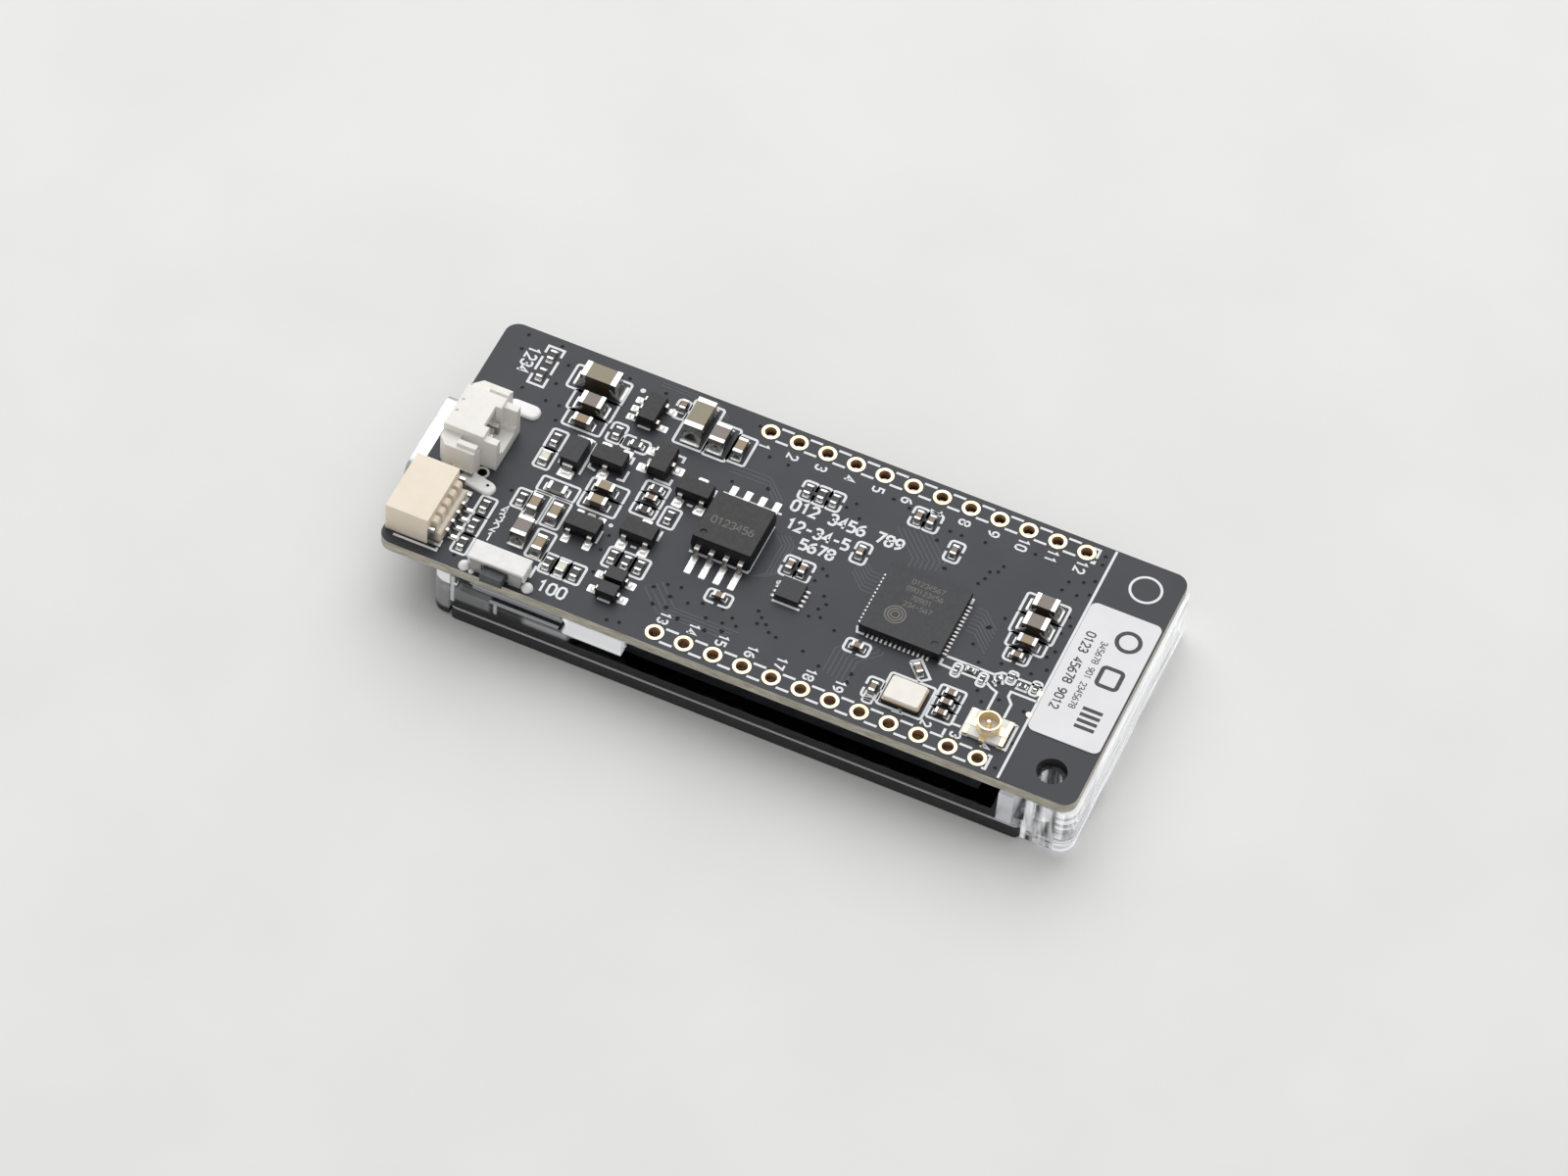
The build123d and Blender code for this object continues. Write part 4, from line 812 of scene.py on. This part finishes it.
def plastic(name, dark, light, roughness, scale=2.0, edge=0.05, depth=0.006, scatter=0.0):
    """Moulded plastic: two close shades, fine relief and softened edges."""
    material = new_material(name, light, roughness)
    vary_colour(material, dark, light, scale)
    add_relief(material, scale * relief_cells, depth, edge)
    if scatter:
        set_shader(material, "Subsurface Weight", scatter)
        set_shader(material, "Subsurface Radius", (0.6, 0.5, 0.4))
        set_shader(material, "Subsurface Scale", mm)
    return material


def dark_sided(name, dark, light, roughness, depth):
    """Moulded chip plastic: grey on top, with the sides painted near black as shade."""
    material = new_material(name, light, roughness)
    # The near black sides are painted shade
    colour_by_facing(material, (13, 13, 14), two_shades(material, dark, light, 3.0))
    add_relief(material, 12.0, depth, 0.05)
    return material


def clear_plastic():
    """Clear moulding: smoky over dark parts; painted milky, streaked and glowing by emission where light
    collects, as painted glow and highlights; frosted on the rib, which also gets a faint painted glow.
    """
    material = new_material("clear_plastic", (248, 250, 250), 0.05)
    set_shader(material, "IOR", 1.49)
    long_noise = object_noise(material, 0.9, 2.0, (0.3, 0.12, 3.0))
    tall_noise = object_noise(material, 1.1, 2.0, (1.0, 1.0, 0.15))
    # Painted glow where light collects at the frame's end and near corner, streaked by noise
    end = both_of(material, in_block(material, *end_glow_block),
                  spread(material, long_noise, 0.45, 1.0, 0.4, 0.52))
    corner = both_of(material, in_block(material, *corner_glow_block),
                     spread(material, tall_noise, 0.0, 0.9, 0.42, 0.58))
    frost_and_painted_glow = either_of(material, end, corner)
    # Painted highlights at the listed places
    for low, high, soft, strength in painted_glow_blocks:
        glow = spread(material, in_block(material, low, high, soft), 0.0, strength)
        frost_and_painted_glow = either_of(material, frost_and_painted_glow, glow)
    rib = axis_within(material, "X", rib_x * mm, rib_half * mm)
    frost_and_painted_glow = either_of(material, frost_and_painted_glow, spread(material, rib, 0.0, 0.45))
    set_shader(material, "Roughness", spread(material, rib, 0.05, 0.45))
    # Less transmission, a whiter colour and emission make the painted glow; on the rib they add to its real
    # frosting
    set_shader(material, "Transmission Weight", spread(material, frost_and_painted_glow, 1.0, 0.4))
    set_shader(material, "Base Color", blend(material, frost_and_painted_glow, (168, 170, 174), (252, 253, 254)))
    set_shader(material, "Emission Color", linear(248, 250, 252))
    set_shader(material, "Emission Strength", spread(material, frost_and_painted_glow, 0.0, 0.3))
    add_relief(material, 0.4, 0.01)
    return material


def display_tray():
    """Dark tray with a painted highlight: a pale line along its upper edge where it would catch the light."""
    material = new_material("display_tray", (30, 28, 29), 0.42)
    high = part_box("display_tray")[1].z
    line = axis_within(material, "Z", high, tray_highlight_half * mm)
    side = two_shades(material, (28, 27, 28), (38, 36, 37), 0.8)
    # The pale line is a painted highlight
    set_shader(material, "Base Color", blend(material, line, side, (214, 216, 220)))
    add_relief(material, 3.2, 0.008)
    return material


def display_glass():
    """Dark cover glass, with the picture area a little lighter than its border."""
    material = new_material("display_glass", (14, 14, 18), 0.06)
    low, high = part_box("display_glass")
    middle = (low + high) / 2
    inside = both_of(material, axis_within(material, "X", middle.x + picture_shift * mm, picture_half_x * mm),
                     axis_within(material, "Y", middle.y, picture_half_y * mm))
    set_shader(material, "Base Color", blend(material, inside, (8, 8, 9), (26, 28, 34)))
    set_shader(material, "Coat Weight", 0.6)
    set_shader(material, "Coat Roughness", 0.03)
    add_relief(material, 0.3, 0.002)
    return material


def chip_resistor():
    """Black glaze on top and white ceramic at the sides."""
    material = new_material("chip_resistor", (34, 34, 37), 0.35)
    colour_by_facing(material, (196, 192, 182), two_shades(material, (28, 28, 31), (44, 44, 48), 3.0))
    add_relief(material, 8.0, 0.004, 0.03)
    return material


# Two close shades and the roughness of each plain finish, then, where they aren't the usual ones, the
# scale of its noise, its softened edge, the depth of its relief and how much light it scatters
plain_finishes = {
    "track": ((58, 60, 66), (63, 65, 71), 0.42, 0.5, 0.0, 0.001),
    "ink": ((238, 240, 242), (246, 247, 248), 0.6, 3.0, 0.0),
    # Heavier solder as plain near-white, a painted highlight in place of its metal sheen
    "blob": ((244, 244, 243), (254, 254, 254), 0.3, 0.6, 0.0, 0.02),
    # Gold in the holes, darkened to brown as painted shade
    "shaded_barrel": ((128, 92, 58), (168, 130, 90), 0.35, 2.0, 0.0),
    "label": ((234, 234, 237), (238, 238, 241), 0.45, 0.4, 0.02, 0.002),
    "label_print": ((58, 58, 62), (74, 74, 78), 0.6, 4.0, 0.0),
    "foam": ((24, 24, 25), (40, 40, 42), 0.95, 6.0, 0.0, 0.05),
    "light_guide": ((228, 231, 233), (242, 244, 245), 0.5),
    "flex": ((128, 74, 22), (168, 104, 38), 0.35, 0.6, 0.0),
    "socket_cream": ((208, 200, 180), (228, 221, 203), 0.5),
    "flap": ((38, 32, 28), (54, 46, 40), 0.5),
    "black": ((24, 24, 25), (38, 38, 40), 0.45),
    "white": ((243, 240, 234), (247, 245, 240), 0.42, 0.8, 0.08, 0.004, 0.2),
    "cream": ((243, 230, 210), (246, 234, 216), 0.45, 0.7, 0.08, 0.004, 0.2),
    "cover": ((238, 236, 231), (248, 247, 244), 0.35, 1.0, 0.08, 0.004, 0.15),
    "grey": ((150, 148, 145), (176, 174, 170), 0.4, 1.5, 0.08, 0.006, 0.3),
    "plunger": ((66, 67, 72), (84, 85, 90), 0.5, 1.5, 0.08),
    "mark": ((112, 110, 104), (126, 124, 118), 0.7, 4.0, 0.0),
    "crystal_lid": ((244, 238, 228), (249, 245, 238), 0.3, 0.8, 0.05, 0.002),
    "indicator": ((226, 221, 196), (242, 240, 226), 0.25, 2.0, 0.04, 0.0, 0.4),
    "via": ((48, 50, 55), (54, 56, 61), 0.42, 2.0, 0.0, 0.001),
    # Near black: painted shade for the holes of vias and pits
    "via_hole": ((3, 3, 4), (7, 7, 8), 0.8, 2.0, 0.0),
}


def make_materials():
    made = {name: plastic(name, *look) for name, look in plain_finishes.items()}
    made.update({
        "solder_mask": solder_mask(),
        "tin": tinned_metal(),
        "solder": solder_metal(),
        "gold": gold_metal(),
        "steel": steel(),
        "clear": clear_plastic(),
        "tray": display_tray(),
        "glass": display_glass(),
        "chip": dark_sided("chip", (43, 44, 48), (51, 52, 56), 0.55, 0.01),
        "moulded": dark_sided("moulded", (52, 51, 51), (62, 60, 60), 0.65, 0.015),
        "crystal": crystal_case(),
        "large_capacitor": ceramic("large_capacitor", (142, 133, 108), (132, 120, 114), large_split),
        "small_capacitor": ceramic("small_capacitor", (154, 136, 106), (140, 118, 100), small_split),
        "resistor": chip_resistor(),
    })
    return made


# CAD nodes of each finish
finish_nodes = {
    "solder_mask": ("circuit_board",),
    "gold": ("header_rings", "test_points", "usb_contacts", "antenna_ring", "antenna_pin"),
    "label": ("label_sticker",),
    "clear": ("clear_frame",),
    "foam": ("display_foam",),
    "tray": ("display_tray",),
    "glass": ("display_glass",),
    "light_guide": ("display_light_guide",),
    "flex": ("display_flex",),
    "socket_cream": ("flex_socket",),
    "flap": ("flex_flap",),
    "steel": ("usb_shell", "button_covers", "switch_domes"),
    "black": ("usb_tongue", "usb_pegs", "button_bodies"),
    "white": ("battery_housing", "antenna_base"),
    "tin": ("battery_contacts", "battery_tabs", "expansion_contacts", "expansion_tabs", "reset_legs",
            "button_legs", "mcu_pads", "flash_leads", "logic_chip_pads", "regulator_leads",
            "transistor_leads", "diode_leads", "large_capacitor_ends", "small_capacitor_ends",
            "resistor_ends", "indicator_ends"),
    "cream": ("expansion_housing",),
    "grey": ("reset_body",),
    "cover": ("reset_cover",),
    "plunger": ("reset_plunger", "boot_plunger", "user_plunger"),
    "chip": ("mcu_body", "logic_chip_body", "diode_bodies"),
    "moulded": ("flash_body", "regulator_bodies", "transistor_bodies"),
    "crystal": ("crystal_base",),
    "crystal_lid": ("crystal_lid",),
    "large_capacitor": ("large_capacitor_bodies",),
    "small_capacitor": ("small_capacitor_bodies",),
    "resistor": ("resistor_bodies",),
    "indicator": ("indicator_lights",),
}


def dress_cad_nodes(materials):
    for finish, nodes in finish_nodes.items():
        for node in nodes:
            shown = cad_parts[node]
            if not shown.material_slots:
                shown.data.materials.append(materials[finish])
            for holder in shown.material_slots:
                holder.material = materials[finish]


def header_centres():
    """For each header hole whether it is in the far row, its x and its y, sorted."""
    centres = [middle_of(points) for points in islands("header_rings")]
    return sorted((centre.y > 0, centre.x, centre.y) for centre in centres if centre.z > top)


def print_outlines(materials):
    """The printed boxes, lines and dots round the parts."""
    ink = Heap()
    high = top + ink_height
    for box in closed_boxes:
        ribbon(ink, rounded_outline(*box, box_corner), line_width, top, high, True)
    for box in split_boxes:
        for half in split_outline(*box, split_corner, split_gap):
            ribbon(ink, half, line_width, top, high)
    for line in printed_lines:
        ribbon(ink, line, line_width, top, high)
    for x, y, radius in printed_dots:
        dome(ink, x, y, ((radius, top), (radius, high)), 12)
    x, y, radius = hole_mark
    ribbon(ink, circle(x, y, radius, 40), line_width, top, high, True)
    for text, x, y, height, turn, stroke in number_lines:
        write(ink, text, x, y, height, turn, stroke, top, high)
    ink.piece("printed_outlines", materials["ink"])


def print_header_dashes(materials):
    """Two short lines between each ring of a header row and the next."""
    ink = Heap()
    centres = header_centres()
    for (side, x, y), (next_side, next_x, _) in zip(centres, centres[1:]):
        if side != next_side:
            continue
        for shift in dash_across:
            dash = ((x + dash_start, y + shift), (next_x - dash_start, y + shift))
            ribbon(ink, dash, line_width, top, top + ink_height)
    ink.piece("printed_dashes", materials["ink"])


def print_pin_numbers(materials):
    """Plain numbers beside the header holes, read with the label end up."""
    ink = Heap()
    centres = header_centres()
    far = [place for place in centres if place[0]]
    near = [place for place in centres if not place[0]]
    for number, (side, x, y) in enumerate(far + near, 1):
        short = number > last_long_number
        text = str(number)[-1] if short else str(number)
        gap = short_number_gap if short else pin_number_gap
        height = pin_number_height if side else near_number_height
        y += -gap if side else gap
        write(ink, text, x + pin_number_shift, y, height, quarter_turn, pin_number_stroke, top,
              top + ink_height)
    ink.piece("pin_numbers", materials["ink"])


def make_vias(materials):
    """Lacquered rings with a dimple painted near black as shade."""
    rings = Heap()
    hole_shades = Heap()
    high = top + track_height
    for x, y in vias:
        dome(rings, x, y, ((via_radius, top), (via_radius * via_slope, high), (via_hole, high)), 14)
        dome(hole_shades, x, y, ((via_hole, top), (via_hole, top + track_height * via_hole_rise)), 10)
    rings.piece("via_rings", materials["via"])
    hole_shades.piece("via_hole_shades", materials["via_hole"])


def make_tracks(materials):
    """Copper under the lacquer, in bundles beside the large chips."""
    tracks = Heap()
    for path, (step_x, step_y), count in track_bundles:
        for index in range(count):
            shifted = [(x + index * step_x, y + index * step_y) for x, y in path]
            ribbon(tracks, shifted, track_width, top, top + track_height)
    tracks.piece("covered_tracks", materials["track"])


def make_solder(materials):
    """All solder on the component side."""
    heap = Heap()
    for bodies, ends in chip_joints:
        chip_solder(heap, bodies, ends)
    for joint in lead_joints:
        lead_solder(heap, *joint)
    for joint in pad_joints:
        pad_solder(heap, *joint)
    heap.piece("solder_joints", materials["solder"], True)


def oval_mound(heap, x, y, length, width, height, turn, steps=40):
    """A smooth mound with a rounded oblong outline, steep at its edge and soft on top."""
    spin = Matrix.Rotation(math.radians(turn), 2)
    outline = rounded_outline(-length / 2, -width / 2, length / 2, width / 2, width * mound_corner,
                              steps // 4 - 1)
    rings = []
    for share, rise in mound_profile:
        inset = (1 - share) * width / 2
        ring = []
        for u, v in outline:
            place = [math.copysign(max(0, abs(part) - inset), part) for part in (u, v)]
            flat = spin @ Vector(place)
            ring.append((x + flat.x, y + flat.y, top + height * rise))
        rings.append(ring)
    stack(heap, rings)


def make_blobs(materials):
    """Heavier solder at the socket's legs and the switch's corners, painted plain near-white as a highlight.
    """
    heap = Heap()
    for blob in leg_blobs:
        oval_mound(heap, *blob)
    for x, y, radius, height in round_blobs:
        profile = [(radius * math.cos(angle), top + height * math.sin(angle))
                   for angle in blob_angles]
        dome(heap, x, y, profile, 20)
    heap.piece("solder_blobs", materials["blob"], True)


def peg_rings(materials):
    """Bright rings round the two holes of the charging socket's pegs, and the pits beside them, painted near
    black as shade.
    """
    rings = Heap()
    for side in (-1, 1):
        ring = circle(peg_x, side * peg_y, peg_ring, ring_steps)
        ribbon(rings, ring, peg_ring_width, top, top + ink_height, True)
    rings.piece("peg_rings", materials["tin"])
    pit_shades = Heap()
    for x, y, radius in painted_pit_shades:
        dome(pit_shades, x, y, ((radius, top), (radius, top + blob_pit_height)), 14)
    pit_shades.piece("solder_pit_shades", materials["via_hole"])


def hole_barrels(materials):
    """Gold plating inside the header holes, coloured a dark brownish gold as painted shade."""
    barrels = Heap()
    for _, x, y in header_centres():
        outer = circle(x, y, hole_radius, barrel_steps)
        inner = circle(x, y, hole_radius - barrel_wall, barrel_steps)
        points = [(px, py, z) for z in (under, top) for ring in (outer, inner) for px, py in ring]
        faces = []
        for step in range(barrel_steps):
            after = (step + 1) % barrel_steps
            low_out, low_in, high_out, high_in = (level * barrel_steps for level in range(4))
            faces.append((low_in + after, low_in + step, high_in + step, high_in + after))
            faces.append((low_out + step, low_out + after, high_out + after, high_out + step))
            faces.append((high_out + step, high_out + after, high_in + after, high_in + step))
            faces.append((low_out + after, low_out + step, low_in + step, low_in + after))
        barrels.add(points, faces)
    barrels.piece("hole_barrels", materials["shaded_barrel"], True)


def chip_marks(materials):
    """Small plain numbers and rings on the chips."""
    marks = Heap()
    low, high = (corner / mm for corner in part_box("mcu_body"))
    levels = (high.z, high.z + mark_height)
    x = low.x + mcu_row_from_corner[0]
    for index, row in enumerate(mcu_rows):
        y = high.y - mcu_row_from_corner[1] - index * mcu_row_step
        write(marks, row, x, y, mcu_row_height, 0, mcu_row_stroke, *levels)
    for radius in chip_disc_rings:
        ring = circle(low.x + chip_disc[0], low.y + chip_disc[1], radius, ring_steps)
        ribbon(marks, ring, chip_disc_line, *levels, True)
    low, high = (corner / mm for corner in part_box("flash_body"))
    middle = (low + high) / 2
    levels = (high.z, high.z + mark_height)
    write(marks, flash_row, middle.x, middle.y - flash_row_drop, flash_row_height, 0,
          flash_row_stroke, *levels)
    marks.piece("chip_marks", materials["mark"])


def label_print(materials):
    """Plain numbers and plain shapes on the label."""
    printed = Heap()
    _, high = (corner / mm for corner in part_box("label_sticker"))
    levels = (high.z, high.z + label_print_height)
    for row, x, y, height, stroke in label_rows:
        write(printed, row, x, y, height, quarter_turn, stroke, *levels)
    ribbon(printed, circle(*label_ring, ring_steps), label_line, *levels, True)
    ribbon(printed, rounded_outline(*label_square), label_line, *levels, True)
    left, right, first_y, count = label_bars
    for index in range(count):
        y = first_y - index * label_bar_step
        ribbon(printed, ((left, y), (right, y)), label_bar_width, *levels)
    printed.piece("label_figures", materials["label_print"])


def make_floor():
    """A plain pale floor that fills the view."""
    mesh = bpy.data.meshes.new("floor")
    corners = [(x * floor_reach, y * floor_reach, 0) for x, y in ((-1, -1), (1, -1), (1, 1), (-1, 1))]
    mesh.from_pydata(corners, [], [(0, 1, 2, 3)])
    floor = bpy.data.objects.new("floor", mesh)
    floor.location.z = -floor_drop
    bpy.context.scene.collection.objects.link(floor)
    material = new_material("floor", (240, 240, 238), 0.8)
    vary_colour(material, (238, 238, 236), (242, 242, 240), 0.05)
    mesh.materials.append(material)


def make_lights():
    """A pale even sky and one wide soft light behind and above the board."""
    world = bpy.data.worlds.new("studio")
    bpy.context.scene.world = world
    world.use_nodes = True
    background = world.node_tree.nodes["Background"]
    background.inputs["Color"].default_value = (1.0, 1.0, 1.0, 1.0)
    background.inputs["Strength"].default_value = sky_strength
    light = bpy.data.lights.new("sky", "AREA")
    light.shape = "DISK"
    light.size = lamp_size
    light.energy = lamp_power
    holder = bpy.data.objects.new("sky", light)
    bpy.context.scene.collection.objects.link(holder)
    holder.location = lamp_place
    holder.rotation_euler = (-Vector(lamp_place)).to_track_quat("-Z", "Y").to_euler()


def make_camera():
    """Camera solved from the header holes' places in the photograph."""
    data = bpy.data.cameras.new("camera")
    data.sensor_fit = "HORIZONTAL"
    data.sensor_width = sensor_width
    data.lens = focal_length
    data.clip_start = nearest_shown
    data.clip_end = furthest_shown
    camera = bpy.data.objects.new("camera", data)
    bpy.context.scene.collection.objects.link(camera)
    right, down, forward = (Vector(way) for way in camera_ways)
    turn = Matrix((right, -down, -forward)).transposed().to_4x4()
    turn.translation = (Vector(camera_place) + Vector((0, 0, top))) * mm
    camera.matrix_world = turn
    bpy.context.scene.camera = camera


materials = make_materials()
dress_cad_nodes(materials)
print_outlines(materials)
print_header_dashes(materials)
print_pin_numbers(materials)
make_vias(materials)
make_tracks(materials)
make_solder(materials)
make_blobs(materials)
peg_rings(materials)
hole_barrels(materials)
chip_marks(materials)
label_print(materials)
make_floor()
make_lights()
make_camera()
bpy.context.scene.view_settings.view_transform = "Standard"
